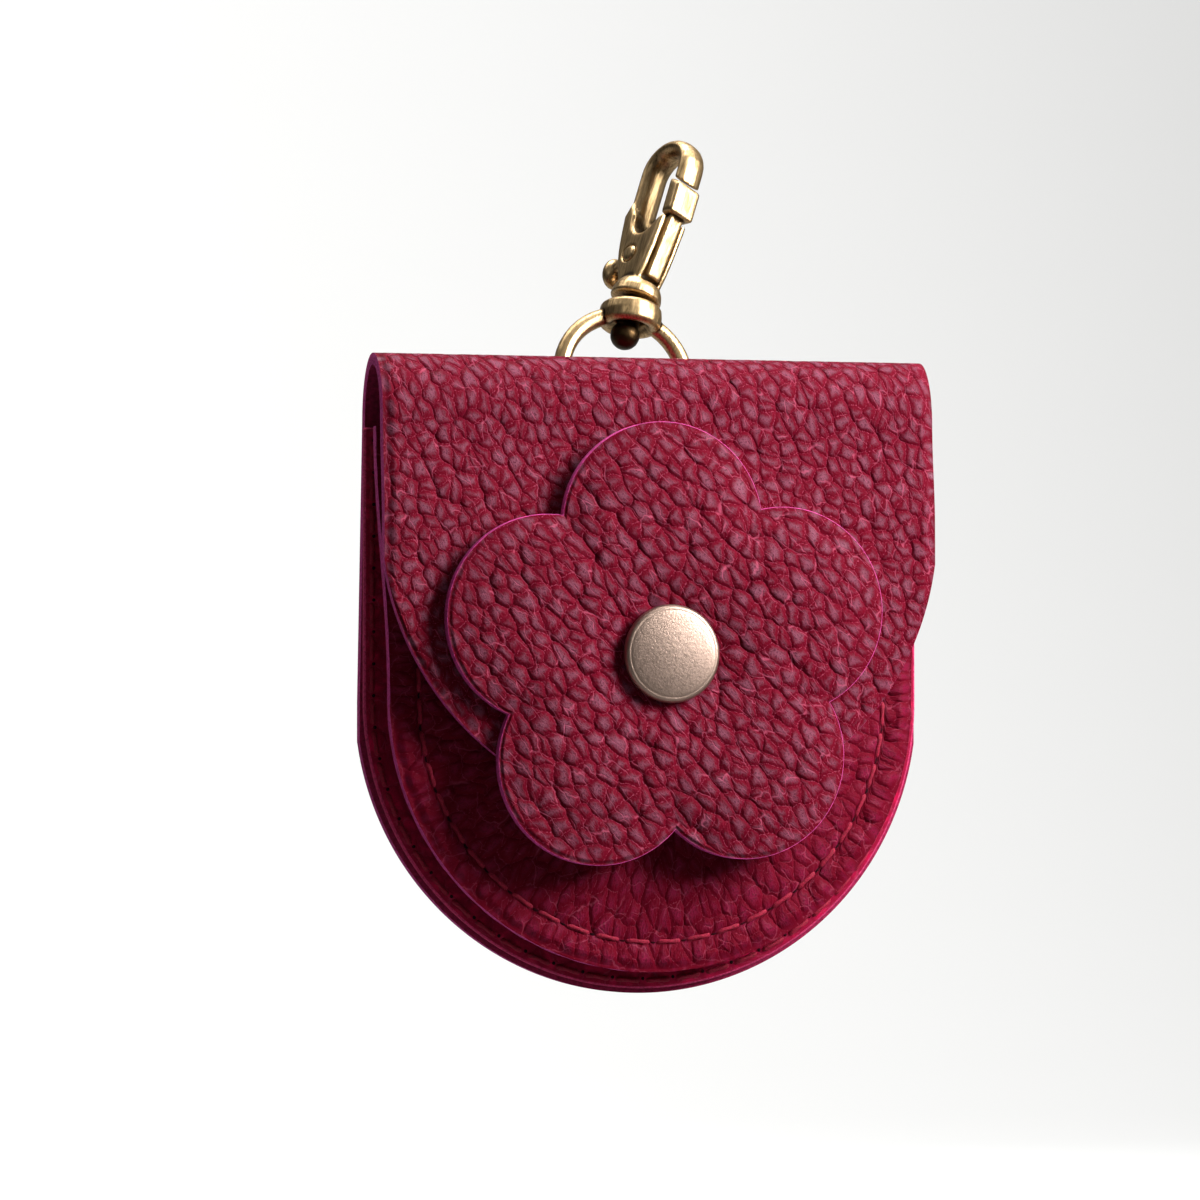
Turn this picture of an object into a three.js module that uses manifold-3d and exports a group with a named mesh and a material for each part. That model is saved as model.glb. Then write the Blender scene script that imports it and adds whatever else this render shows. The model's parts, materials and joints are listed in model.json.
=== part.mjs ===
// A small leather flap pouch that hangs from a swivel trigger hook. Millimetres, +Z up.
// The origin is the seat of the hook, where the ring that carries the pouch bears.
// The pouch itself is drawn in its own frame: X across, Y towards the back, Z up,
// with y = 0 on the outer face of the back panel and z = 0 on top of the fold.
import * as THREE from "three";
import { mergeVertices } from "three/addons/utils/BufferGeometryUtils.js";
import Module from "manifold-3d";

const wasm = await Module();
wasm.setup();

// Leather
const LEATHER = 1.8;
const GUSSET_LEATHER = 1.3;
const TAB_LEATHER = 1.6;
const GAP = 0.3; // between pieces that touch

// Back panel, fold and flap
const WIDTH = 88.8; // of the back panel
const FLAP_WIDTH = 87.3; // from the fold on
const HEIGHT = 97.6;
const EDGE_TURN = THREE.MathUtils.degToRad(82); // how far the round ends turn before the straight sides
const END_RADIUS = WIDTH / 2 / Math.sin(EDGE_TURN);
const BODY_CENTRE_Z = END_RADIUS - HEIGHT; // centre of the round bottom
const FOLD_DEPTH = 13.5; // over the outer faces
const FOLD_HEIGHT = 10;
const FLAP_CENTRE_Z = -25.3; // centre of the flap's round end
const FLAP_LEAN = 1.2; // how far the flap stands forward below the fold
const FLAP_SWELL = 1.3; // extra at its middle

// Front panel and gusset
const FRONT_TOP_Z = -11.2;
const FRONT_RADIUS = 41.5; // of its round bottom, about the body's centre
const FRONT_TOP_HALF_WIDTH = 43.4;
const MOUTH_DEPTH = 6.2; // middle of back panel to middle of front panel, at the mouth
const BODY_DEPTH = 7.6; // the same lower down
const DEEP_Z = -44; // below here the pouch has its full depth
const SEAM_INSET = 4.6; // stitches from the raw edge
const SEAM_DIP = 0.15;
const SWELL = 2.3; // how far the front swells inside its seam
const SWELL_REACH = 22;
const MOUTH_SWELL = 0.55; // share of the swell left at the mouth
const FLANGE_START = 37; // half-width where the gusset's flanges begin
const WEB_BOW = 1.6; // how far the web bends in past them

// Flower and snap
const SNAP_Z = -45.8;
const PETALS = 5;
const PETAL_RADIUS = 15.8;
const PETAL_DISTANCE = 19.6;
const FLOWER_TURN = THREE.MathUtils.degToRad(92.4); // direction of the top petal
const FLOWER_PUFF = 0.9;
const FLOWER_CURL = 1.3;
const CAP_RADIUS = 7.5;
const CAP_HEIGHT = 2.6;
const CAP_POST_RADIUS = 1.9;
const SOCKET_RADIUS = 5;
const SOCKET_HEIGHT = 1.3;
const STUD_RADIUS = 1.5;
const STUD_DISC_RADIUS = 4.4;
const STUD_DISC_HEIGHT = 0.9;

// Swivel eye and the tab that holds its bar
const LEAN_RIGHT = THREE.MathUtils.degToRad(11);
const LEAN_BACK = THREE.MathUtils.degToRad(16);
const WIRE_RADIUS = 1.4;
const EYE_RADIUS = 10.1; // to the middle of the wire
const EYE_HEIGHT = 12.2; // bar to middle of boss
const EYE_CORNER = 1.7;
const BOSS_RADIUS = 5;
const BOSS_HEIGHT = 3.8;
const BORE_RADIUS = 2.35;
const RECESS_RADIUS = 3.5; // of the hollow under the boss, round the ball
const RECESS_DEPTH = 1.3;
const BAR_X = -1.3;
const BAR_Z = -4.2;
const SLOT_RADIUS = WIRE_RADIUS + 0.35;
const SLOT_HALF_HEIGHT = 3.2; // lets the bar lie aslant
const BAR_Y = GAP + TAB_LEATHER + SLOT_RADIUS;
const TAB_WIDTH = 11.8;
const TAB_LENGTH = 24; // below the bar

// Hook: x is across it towards the gate, z along its shank
const SHANK_LEAN = THREE.MathUtils.degToRad(9.5); // how far the shank lies over in its wide bore
const HOOK_TURN = THREE.MathUtils.degToRad(-65.5); // direction that the gate faces
const CHEEK_THICKNESS = 5.4; // over both cheeks
const CHEEK_BEVEL = 0.5;
const CHEEK_FOOT_Z = 2.2;
const CHEEK_TOP_Z = 13.9;
const VALLEY_Z = 11.2; // bottom of the hook's opening
const SPINE_Z = 15; // where the spine becomes an oval bar
const CROWN_Z = 23; // centre of the round crown
const SEAT_RADIUS = 3;
const BAR_HALF_DEPTH = 1.3; // of the oval bar that bends over as the crown
const BAR_HALF_WIDTH = 2.4;
const SEAM_RADIUS = 13.8; // pivot to the joint between gate and nose
const GATE_THICKNESS = 5;
const SLOT_HALF_WIDTH = 1.75;
const SLOT_FLOOR_Z = 2.5;
const SLOT_TOP_Z = 10.4; // on the spine's side
const LEVER_HALF_WIDTH = 1.4;
const KNOB_X = -7.2;
const KNOB_Z = 6.2;
const SHANK_RADIUS = 1.7;
const DOME_RADIUS = 4.1;
const DOME_Z = 0.3;
const BALL_RADIUS = 2.35;
const BALL_Z = -6.1;
const PIVOT_X = -1.5;
const PIVOT_Z = 7.6;
const PIN_RADIUS = 0.9;
const RIVET_RADIUS = 1.4; // of its heads, in the cheeks
const RIVET_PROUD = 0.3;

const { lerp, smoothstep } = THREE.MathUtils;
const range = (count) => Array.from({ length: count + 1 }, (_, i) => i / count);

// Meshes and solids

function welded(geometry) {
  const bare = geometry.clone();
  bare.deleteAttribute("normal");
  bare.deleteAttribute("uv");
  const merged = mergeVertices(bare, 1e-4);
  const old = merged.index.array;
  const kept = [];
  for (let i = 0; i < old.length; i += 3) {
    const [a, b, c] = [old[i], old[i + 1], old[i + 2]];
    if (a !== b && b !== c && a !== c) kept.push(a, b, c);
  }
  merged.setIndex(kept);
  return merged;
}

function enclosedVolume(geometry) {
  const at = geometry.attributes.position;
  const index = geometry.index.array;
  const [a, b, c] = [0, 1, 2].map(() => new THREE.Vector3());
  let sum = 0;
  for (let i = 0; i < index.length; i += 3) {
    a.fromBufferAttribute(at, index[i]);
    b.fromBufferAttribute(at, index[i + 1]);
    c.fromBufferAttribute(at, index[i + 2]);
    sum += a.dot(b.cross(c)) / 6;
  }
  return sum;
}

function facingOut(geometry) {
  if (enclosedVolume(geometry) < 0) geometry.setIndex(Array.from(geometry.index.array).reverse());
  return geometry;
}

function solid(geometry) {
  const mesh = facingOut(welded(geometry));
  return new wasm.Manifold(
    new wasm.Mesh({
      numProp: 3,
      vertProperties: new Float32Array(mesh.attributes.position.array),
      triVerts: new Uint32Array(mesh.index.array),
    }),
  );
}

function geometryOf(manifold) {
  const mesh = manifold.getMesh();
  const geometry = new THREE.BufferGeometry();
  geometry.setAttribute("position", new THREE.BufferAttribute(mesh.vertProperties, 3));
  geometry.setIndex(new THREE.BufferAttribute(mesh.triVerts, 1));
  return geometry;
}

// A closed wall from two grids of points, its faces, with the edges between them walled.
// ring: the last column meets the first. sewn: the last row meets itself, so it needs no edge.
function wallBetween(front, back, { ring = false, sewn = false } = {}) {
  const rows = front.length;
  const columns = front[0].length;
  const points = [...front.flat(), ...back.flat()];
  const at = (side, i, j) => side * rows * columns + i * columns + (j % columns);
  const index = [];
  const quad = (a, b, c, d) => index.push(a, b, c, a, c, d);
  const across = ring ? columns : columns - 1;
  for (let i = 0; i < rows - 1; i++) {
    for (let j = 0; j < across; j++) {
      quad(at(0, i, j), at(0, i, j + 1), at(0, i + 1, j + 1), at(0, i + 1, j));
      quad(at(1, i, j), at(1, i + 1, j), at(1, i + 1, j + 1), at(1, i, j + 1));
    }
    if (ring) continue;
    quad(at(0, i, 0), at(0, i + 1, 0), at(1, i + 1, 0), at(1, i, 0));
    const last = columns - 1;
    quad(at(0, i, last), at(1, i, last), at(1, i + 1, last), at(0, i + 1, last));
  }
  for (let j = 0; j < across; j++) {
    quad(at(0, 0, j), at(1, 0, j), at(1, 0, j + 1), at(0, 0, j + 1));
    if (sewn) continue;
    const end = rows - 1;
    quad(at(0, end, j), at(0, end, j + 1), at(1, end, j + 1), at(1, end, j));
  }
  const geometry = new THREE.BufferGeometry();
  const numbers = points.flatMap((p) => p.toArray());
  geometry.setAttribute("position", new THREE.Float32BufferAttribute(numbers, 3));
  geometry.setIndex(index);
  return facingOut(welded(geometry));
}

// A wall of even thickness about a grid of middle points.
function wallAbout(middle, thickness) {
  const [up, along, normal] = [0, 1, 2].map(() => new THREE.Vector3());
  const offset = (side) =>
    middle.map((row, i) =>
      row.map((p, j) => {
        const above = middle[Math.min(i + 1, middle.length - 1)][j];
        const below = middle[Math.max(i - 1, 0)][j];
        up.subVectors(above, below);
        along.subVectors(row[Math.min(j + 1, row.length - 1)], row[Math.max(j - 1, 0)]);
        normal.crossVectors(up, along).setLength((side * thickness) / 2);
        return p.clone().add(normal);
      }),
    );
  return wallBetween(offset(1), offset(-1));
}

// A wall of even thickness about a height field y = field(x, z), over a grid of places (x, z).
function wallOver(places, field, thickness, options) {
  const h = 0.05;
  const offset = (side) =>
    places.map((row) =>
      row.map(([x, z]) => {
        const slopeX = (field(x + h, z) - field(x - h, z)) / (2 * h);
        const slopeZ = (field(x, z + h) - field(x, z - h)) / (2 * h);
        const normal = new THREE.Vector3(slopeX, -1, slopeZ).setLength((side * thickness) / 2);
        return new THREE.Vector3(x, field(x, z), z).add(normal);
      }),
    );
  return wallBetween(offset(1), offset(-1), options);
}

function post(radius, fromY, toY, z, sides = 16) {
  const cylinder = new THREE.CylinderGeometry(radius, radius, Math.abs(toY - fromY), sides);
  return solid(cylinder.translate(0, (fromY + toY) / 2, z));
}

// Leather forms, as middle surfaces

const foldHalfDepth = (FOLD_DEPTH - LEATHER) / 2;
const foldMiddleY = -FOLD_DEPTH / 2;

function flapY(x, z) {
  const stand = FLAP_LEAN * smoothstep(-z, FOLD_HEIGHT, -FLAP_CENTRE_Z);
  const crown = 1 - ((2 * x) / WIDTH) ** 2;
  const swell = FLAP_SWELL * crown * smoothstep(-z, FOLD_HEIGHT, -SNAP_Z);
  return foldMiddleY - foldHalfDepth - stand - swell;
}

function bodyDepth(z) {
  return lerp(MOUTH_DEPTH, BODY_DEPTH, smoothstep(-z, -FRONT_TOP_Z, -DEEP_Z));
}

function frontHalfWidth(z) {
  return lerp(FRONT_RADIUS, FRONT_TOP_HALF_WIDTH, smoothstep(z, BODY_CENTRE_Z, FRONT_TOP_Z));
}

function frontY(x, z) {
  const low = z < BODY_CENTRE_Z;
  const inset = low
    ? FRONT_RADIUS - Math.hypot(x, z - BODY_CENTRE_Z)
    : frontHalfWidth(z) - Math.abs(x);
  const rise = THREE.MathUtils.clamp((inset - SEAM_INSET) / SWELL_REACH, 0, 1);
  const share = lerp(MOUTH_SWELL, 1, smoothstep(-z, -FRONT_TOP_Z, -DEEP_Z));
  const dip = SEAM_DIP * Math.exp(-(((inset - SEAM_INSET) / 0.9) ** 2));
  return -LEATHER / 2 - bodyDepth(z) - SWELL * share * (1 - (1 - rise) ** 2) + dip;
}

// Places along a U: down the left side, round the bottom and up the right side.
// halfWidth gives the U's reach at a height, and bottomRadius its round end.
function alongU(halfWidth, bottomRadius, straight, round) {
  const side = range(straight).map((t) => lerp(FRONT_TOP_Z, BODY_CENTRE_Z, t));
  const left = side.map((z) => [-halfWidth(z), z]);
  const arc = range(round)
    .slice(1, -1)
    .map((t) => Math.PI * (1 + t))
    .map((a) => [bottomRadius * Math.cos(a), BODY_CENTRE_Z + bottomRadius * Math.sin(a)]);
  const right = left.map(([x, z]) => [-x, z]).reverse();
  return [...left, ...arc, ...right];
}

function backFlap() {
  const columns = range(22).map((t) => lerp(-EDGE_TURN, EDGE_TURN, t));
  const backY = -LEATHER / 2;
  const rise = FOLD_HEIGHT - LEATHER / 2;
  const byColumn = columns.map((turn) => {
    const backX = END_RADIUS * Math.sin(turn);
    const flapX = (backX * FLAP_WIDTH) / WIDTH;
    const reach = END_RADIUS * Math.cos(turn);
    const backEnd = range(6).map(
      (t) => new THREE.Vector3(backX, backY, BODY_CENTRE_Z - reach * (1 - t)),
    );
    const backUp = range(2)
      .slice(1)
      .map((t) => [lerp(backX, flapX, t), lerp(BODY_CENTRE_Z, -FOLD_HEIGHT, t)])
      .map(([x, z]) => new THREE.Vector3(x, backY, z));
    const fold = range(10)
      .slice(1)
      .map((t) => [Math.cos(Math.PI * t), Math.sin(Math.PI * t)])
      .map(([c, s]) => [foldMiddleY + foldHalfDepth * c, rise * s - FOLD_HEIGHT])
      .map(([y, z]) => new THREE.Vector3(flapX, y, z));
    const flapDown = range(4).slice(1).map((t) => lerp(-FOLD_HEIGHT, FLAP_CENTRE_Z, t));
    const flapEnd = range(7).slice(1).map((t) => FLAP_CENTRE_Z - reach * t);
    const flap = [...flapDown, ...flapEnd].map(
      (z) => new THREE.Vector3(flapX, flapY(flapX, z), z),
    );
    return [...backEnd, ...backUp, ...fold, ...flap];
  });
  const rows = byColumn[0].map((_, i) => byColumn.map((column) => column[i]));
  const leather = solid(wallAbout(rows, LEATHER));
  const hole = post(CAP_POST_RADIUS + GAP, -FOLD_DEPTH - 6, -FOLD_DEPTH + 4, SNAP_Z);
  return geometryOf(leather.subtract(hole));
}

function frontPanel() {
  const margins = [0, 2.4, 3.8, SEAM_INSET, 5.4];
  const inward = [0.08, 0.2, 0.36, 0.56, 0.78, 1];
  const lastMargin = margins.at(-1);
  const rings = [
    ...margins.map((d) => (reach) => reach - d),
    ...inward.map((f) => (reach) => (reach - lastMargin) * (1 - f)),
  ];
  const places = rings.map((ring) =>
    alongU((z) => ring(frontHalfWidth(z)), ring(FRONT_RADIUS), 5, 22),
  );
  const leather = solid(wallOver(places, frontY, LEATHER, { sewn: true }));
  return geometryOf(leather.subtract(post(STUD_RADIUS + GAP, -18, -4, SNAP_Z)));
}

// Channel section: a flange behind the front panel, a bowed web, a flange on the back panel.
function gusset() {
  const backFlangeY = -LEATHER - GAP - GUSSET_LEATHER / 2;
  const frontFlangeY = (z) => -bodyDepth(z) + GAP + GUSSET_LEATHER / 2;
  const section = [
    { reach: (z) => frontHalfWidth(z) - GAP, bottom: FRONT_RADIUS - GAP, across: 0 },
    ...range(6).map((t) => {
      const reach = FLANGE_START - WEB_BOW * Math.sin(Math.PI * t);
      return { reach: () => reach, bottom: reach, across: (1 - Math.cos(Math.PI * t)) / 2 };
    }),
    { reach: () => WIDTH / 2 - GAP, bottom: WIDTH / 2 - GAP, across: 1 },
  ];
  const rows = section.map(({ reach, bottom, across }) =>
    alongU(reach, bottom, 5, 22).map(([x, z]) => {
      const y = lerp(frontFlangeY(Math.max(z, BODY_CENTRE_Z)), backFlangeY, across);
      return new THREE.Vector3(x, y, z);
    }),
  );
  return wallAbout(rows, GUSSET_LEATHER);
}

// Flower and snap

function petalReach(angle) {
  const step = (2 * Math.PI) / PETALS;
  const turn = angle - FLOWER_TURN;
  const off = turn - step * Math.round(turn / step);
  const across = PETAL_DISTANCE * Math.sin(off);
  return PETAL_DISTANCE * Math.cos(off) + Math.sqrt(PETAL_RADIUS ** 2 - across ** 2);
}

const flowerSeatY = flapY(0, SNAP_Z) - LEATHER - GAP; // middle of the leather at the snap

function flowerY(x, z) {
  const out = Math.hypot(x, z - SNAP_Z);
  const share = out / petalReach(Math.atan2(z - SNAP_Z, x));
  const puff = FLOWER_PUFF * smoothstep(out, CAP_RADIUS - 1, CAP_RADIUS + 7);
  return flowerSeatY - puff + FLOWER_CURL * smoothstep(share, 0.6, 1);
}

function flower() {
  const hole = CAP_POST_RADIUS + GAP;
  const rings = [0, 0.18, 0.34, 0.56, 0.78, 0.92, 1];
  const columns = PETALS * 10;
  const angles = range(columns).slice(0, -1).map((t) => FLOWER_TURN + 2 * Math.PI * t);
  const places = rings.map((f) =>
    angles.map((a) => {
      const out = lerp(hole, petalReach(a), f);
      return [out * Math.cos(a), SNAP_Z + out * Math.sin(a)];
    }),
  );
  return wallOver(places, flowerY, LEATHER, { ring: true });
}

const capBackY = flowerSeatY - LEATHER / 2 - GAP;
const socketFrontY = flapY(0, SNAP_Z) + LEATHER / 2 + GAP;
const socketBackY = socketFrontY + SOCKET_HEIGHT;
const lathe = (profile, sides) =>
  new THREE.LatheGeometry(profile.map(([r, h]) => new THREE.Vector2(r, h)), sides);

// Cap, post and the socket behind the flap, with a blind hole for the stud.
function snapCap() {
  const frontY0 = capBackY - CAP_HEIGHT;
  const socketHole = STUD_RADIUS + GAP;
  const profile = [
    [0, frontY0],
    [CAP_RADIUS * 0.45, frontY0 + 0.12],
    [CAP_RADIUS * 0.78, frontY0 + 0.42],
    [CAP_RADIUS - 0.7, frontY0 + 0.75],
    [CAP_RADIUS - 0.2, frontY0 + 1.1],
    [CAP_RADIUS, frontY0 + 1.7],
    [CAP_RADIUS - 0.3, capBackY],
    [CAP_POST_RADIUS, capBackY],
    [CAP_POST_RADIUS, socketFrontY],
    [SOCKET_RADIUS, socketFrontY],
    [SOCKET_RADIUS, socketBackY - 0.4],
    [SOCKET_RADIUS - 0.4, socketBackY],
    [socketHole, socketBackY],
    [socketHole, socketFrontY - 0.2],
    [0, socketFrontY - 0.2],
  ];
  return lathe(profile, 30).translate(0, 0, SNAP_Z);
}

// Stud: a post through the front panel into the socket, with its disc inside the pocket.
function snapStud() {
  const discFrontY = frontY(0, SNAP_Z) + LEATHER / 2 + GAP;
  const tipY = socketFrontY - 0.2 + GAP;
  const profile = [
    [0, tipY],
    [STUD_RADIUS - 0.4, tipY],
    [STUD_RADIUS, tipY + 0.4],
    [STUD_RADIUS, discFrontY],
    [STUD_DISC_RADIUS, discFrontY],
    [STUD_DISC_RADIUS - 0.3, discFrontY + STUD_DISC_HEIGHT],
    [0, discFrontY + STUD_DISC_HEIGHT],
  ];
  return lathe(profile, 18).translate(0, 0, SNAP_Z);
}

// Tab: a strip folded round the eye's bar, drawn in side view (y, z) and as wide as TAB_WIDTH.
function hangTab() {
  const loop = SLOT_RADIUS + TAB_LEATHER;
  const arcZ = SLOT_HALF_HEIGHT - SLOT_RADIUS;
  const foot = BAR_Z - TAB_LENGTH;
  const doubled = GAP + 2 * TAB_LEATHER;
  const side = new THREE.Shape();
  side.moveTo(GAP, foot);
  side.lineTo(doubled, foot);
  side.lineTo(doubled, BAR_Z - 10);
  side.bezierCurveTo(doubled, BAR_Z - 6, BAR_Y + loop, BAR_Z - 5, BAR_Y + loop, BAR_Z - arcZ);
  side.lineTo(BAR_Y + loop, BAR_Z + arcZ);
  side.absarc(BAR_Y, BAR_Z + arcZ, loop, 0, Math.PI, false);
  side.closePath();
  const slot = new THREE.Path();
  slot.absarc(BAR_Y, BAR_Z + arcZ, SLOT_RADIUS, 0, Math.PI, false);
  slot.absarc(BAR_Y, BAR_Z - arcZ, SLOT_RADIUS, Math.PI, 2 * Math.PI, false);
  slot.closePath();
  side.holes.push(slot);
  const strip = new THREE.ExtrudeGeometry(side, {
    depth: TAB_WIDTH,
    bevelEnabled: false,
    curveSegments: 10,
  });
  const [xAxis, yAxis, zAxis] = [0, 1, 2].map((i) => new THREE.Vector3().setComponent(i, 1));
  strip.applyMatrix4(new THREE.Matrix4().makeBasis(yAxis, zAxis, xAxis));
  strip.translate(BAR_X - TAB_WIDTH / 2, 0, 0);

  const half = TAB_WIDTH / 2;
  const round = half * 0.9;
  const face = new THREE.Shape();
  face.moveTo(-half - 1, BAR_Z + 20);
  face.lineTo(-half - 1, foot + round);
  face.lineTo(-half, foot + round);
  face.absellipse(0, foot + round, half, round, Math.PI, 2 * Math.PI, false);
  face.lineTo(half + 1, foot + round);
  face.lineTo(half + 1, BAR_Z + 20);
  const outline = new THREE.ExtrudeGeometry(face, {
    depth: 30,
    bevelEnabled: false,
    curveSegments: 12,
  });
  outline.translate(BAR_X, 0, -15).rotateX(Math.PI / 2);
  return geometryOf(solid(strip).intersect(solid(outline)));
}

// Swivel eye: x along its bar, z along the hook's shank

class WireCurve extends THREE.Curve {
  constructor(path) {
    super();
    this.path = path;
  }
  getPoint(t, target = new THREE.Vector3()) {
    const p = this.path.getPointAt(t);
    return target.set(p.x, 0, p.y);
  }
}

function roundSection(radius, sides) {
  const points = range(sides)
    .slice(0, -1)
    .map((t) => 2 * Math.PI * t)
    .map((a) => new THREE.Vector2(radius * Math.cos(a), radius * Math.sin(a)));
  return new THREE.Shape(points);
}

function swivelEye() {
  const archZ = EYE_HEIGHT - EYE_RADIUS;
  const cornerX = EYE_RADIUS - EYE_CORNER;
  const inBoss = Math.acos(3.2 / EYE_RADIUS); // the wire ends inside the boss
  const route = new THREE.Path();
  route.absarc(0, archZ, EYE_RADIUS, Math.PI - inBoss, Math.PI, false);
  route.absarc(-cornerX, EYE_CORNER, EYE_CORNER, Math.PI, 1.5 * Math.PI, false);
  route.absarc(cornerX, EYE_CORNER, EYE_CORNER, -0.5 * Math.PI, 0, false);
  route.absarc(0, archZ, EYE_RADIUS, 0, inBoss, false);
  const wire = new THREE.ExtrudeGeometry(roundSection(WIRE_RADIUS, 10), {
    steps: 36,
    bevelEnabled: false,
    extrudePath: new WireCurve(route),
  });
  const half = BOSS_HEIGHT / 2;
  const ring = lathe(
    [
      [0, -half],
      [BOSS_RADIUS - 0.8, -half],
      [BOSS_RADIUS - 0.2, -half + 0.5],
      [BOSS_RADIUS, 0],
      [BOSS_RADIUS - 0.2, half - 0.5],
      [BOSS_RADIUS - 0.8, half],
      [0, half],
    ],
    22,
  );
  const hole = lathe(
    [
      [0, -BOSS_HEIGHT],
      [RECESS_RADIUS, -BOSS_HEIGHT],
      [RECESS_RADIUS, -half],
      [BORE_RADIUS, RECESS_DEPTH - half],
      [BORE_RADIUS, BOSS_HEIGHT],
      [0, BOSS_HEIGHT],
    ],
    18,
  );
  const upright = (geometry) => solid(geometry.rotateX(Math.PI / 2).translate(0, 0, EYE_HEIGHT));
  return geometryOf(solid(wire).add(upright(ring)).subtract(upright(hole)));
}

// Hook

// A plate cut to an outline drawn in x and z, centred on y = 0, with its edges rounded.
function plate(outline, thickness, bevel, curveSegments) {
  const geometry = new THREE.ExtrudeGeometry(outline, {
    depth: thickness - 2 * bevel,
    bevelEnabled: bevel > 0,
    bevelThickness: bevel,
    bevelSize: bevel,
    bevelOffset: -bevel,
    bevelSegments: 2,
    curveSegments,
  });
  return solid(geometry.translate(0, 0, bevel - thickness / 2).rotateX(Math.PI / 2));
}

// A solid of turning about the lever's pivot, from its radii and places along the pivot.
function aboutPivot(profile, sides) {
  return lathe(profile, sides).translate(PIVOT_X, 0, PIVOT_Z);
}

function pivotHole(radius) {
  const reach = CHEEK_THICKNESS;
  return solid(aboutPivot([[0, -reach], [radius, -reach], [radius, reach], [0, reach]], 14));
}

const spineInside = -SEAT_RADIUS;
const spineMiddle = spineInside - BAR_HALF_DEPTH;
const spineOutside = spineMiddle - BAR_HALF_DEPTH;
const gateInside = SEAT_RADIUS;
const gateOutside = gateInside + 2 * BAR_HALF_DEPTH;
const cheekFront = gateOutside - 1.5;

function cheekOutline() {
  const side = new THREE.Shape();
  side.moveTo(-2.2, CHEEK_FOOT_Z);
  side.lineTo(1.8, CHEEK_FOOT_Z);
  side.bezierCurveTo(2.8, 4, cheekFront - 0.7, 7, cheekFront, CHEEK_TOP_Z);
  side.lineTo(gateInside - 0.1, CHEEK_TOP_Z - 0.6);
  side.bezierCurveTo(1.8, VALLEY_Z + 1, 1, VALLEY_Z, -0.4, VALLEY_Z);
  side.bezierCurveTo(-1.9, VALLEY_Z, spineInside, VALLEY_Z + 1.4, spineInside, SPINE_Z);
  side.lineTo(spineMiddle, SPINE_Z + 2.5);
  side.lineTo(spineOutside, SPINE_Z);
  side.bezierCurveTo(-5, 10.5, -5, 7.5, -2.2, CHEEK_FOOT_Z);
  return side;
}

// The oval bar that rises from the spine, bends over as the crown and ends in the nose.
function crownBar() {
  const route = new THREE.Path();
  route.moveTo(spineMiddle, SPINE_Z - 2);
  route.lineTo(spineMiddle, CROWN_Z);
  route.absarc(0, CROWN_Z, -spineMiddle, Math.PI, 0, true);
  route.lineTo(-spineMiddle, CHEEK_TOP_Z + 2);
  const circle = roundSection(1, 14).getPoints();
  const oval = circle.map((p) => new THREE.Vector2(p.x * BAR_HALF_WIDTH, p.y * BAR_HALF_DEPTH));
  return new THREE.ExtrudeGeometry(new THREE.Shape(oval), {
    steps: 26,
    bevelEnabled: false,
    extrudePath: new WireCurve(route),
  });
}

// The room of the gate from fromX to toX and up to an arc about its pivot.
function gateOutline(fromX, toX, bottomZ, seamRadius) {
  const angleAt = (x) => Math.acos((x - PIVOT_X) / seamRadius);
  const outline = new THREE.Shape();
  outline.moveTo(fromX, bottomZ);
  outline.lineTo(toX, bottomZ);
  outline.absarc(PIVOT_X, PIVOT_Z, seamRadius, angleAt(toX), angleAt(fromX), false);
  outline.closePath();
  return outline;
}

function hookBody() {
  const cheeks = plate(cheekOutline(), CHEEK_THICKNESS, CHEEK_BEVEL, 7);
  const dome = range(5)
    .map((t) => (Math.PI / 2) * t)
    .map((a) => [DOME_RADIUS * Math.sin(a), DOME_Z + DOME_RADIUS * Math.cos(a)]);
  const under = [[DOME_RADIUS - 0.4, 0], [SHANK_RADIUS, 0]];
  const fromShank = Math.asin(SHANK_RADIUS / BALL_RADIUS);
  const ball = range(6)
    .map((t) => lerp(fromShank, Math.PI, t))
    .map((a) => [BALL_RADIUS * Math.sin(a), BALL_Z + BALL_RADIUS * Math.cos(a)]);
  ball.at(-1)[0] = 0;
  const turned = lathe([...dome, ...under, ...ball], 20).rotateX(Math.PI / 2);

  const [slotBack, slotStep, slotFront] = [-9, -1.2, 8];
  const slot = new THREE.Shape();
  slot.moveTo(slotBack, SLOT_FLOOR_Z);
  slot.lineTo(slotFront, SLOT_FLOOR_Z);
  slot.lineTo(slotFront, CHEEK_TOP_Z + 1);
  slot.lineTo(slotStep, CHEEK_TOP_Z + 1);
  slot.lineTo(slotStep, SLOT_TOP_Z);
  slot.lineTo(slotBack, SLOT_TOP_Z);
  const slotSolid = plate(slot, 2 * SLOT_HALF_WIDTH, 0, 1);
  const gateRoom = gateOutline(gateInside - 1, gateOutside + 1, CHEEK_TOP_Z + 0.1, SEAM_RADIUS + GAP);
  return geometryOf(
    cheeks
      .add(solid(crownBar()).subtract(plate(gateRoom, 3 * CHEEK_THICKNESS, 0, 5)))
      .add(solid(turned))
      .subtract(slotSolid)
      .subtract(pivotHole(RIVET_RADIUS + GAP / 2)),
  );
}

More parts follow.
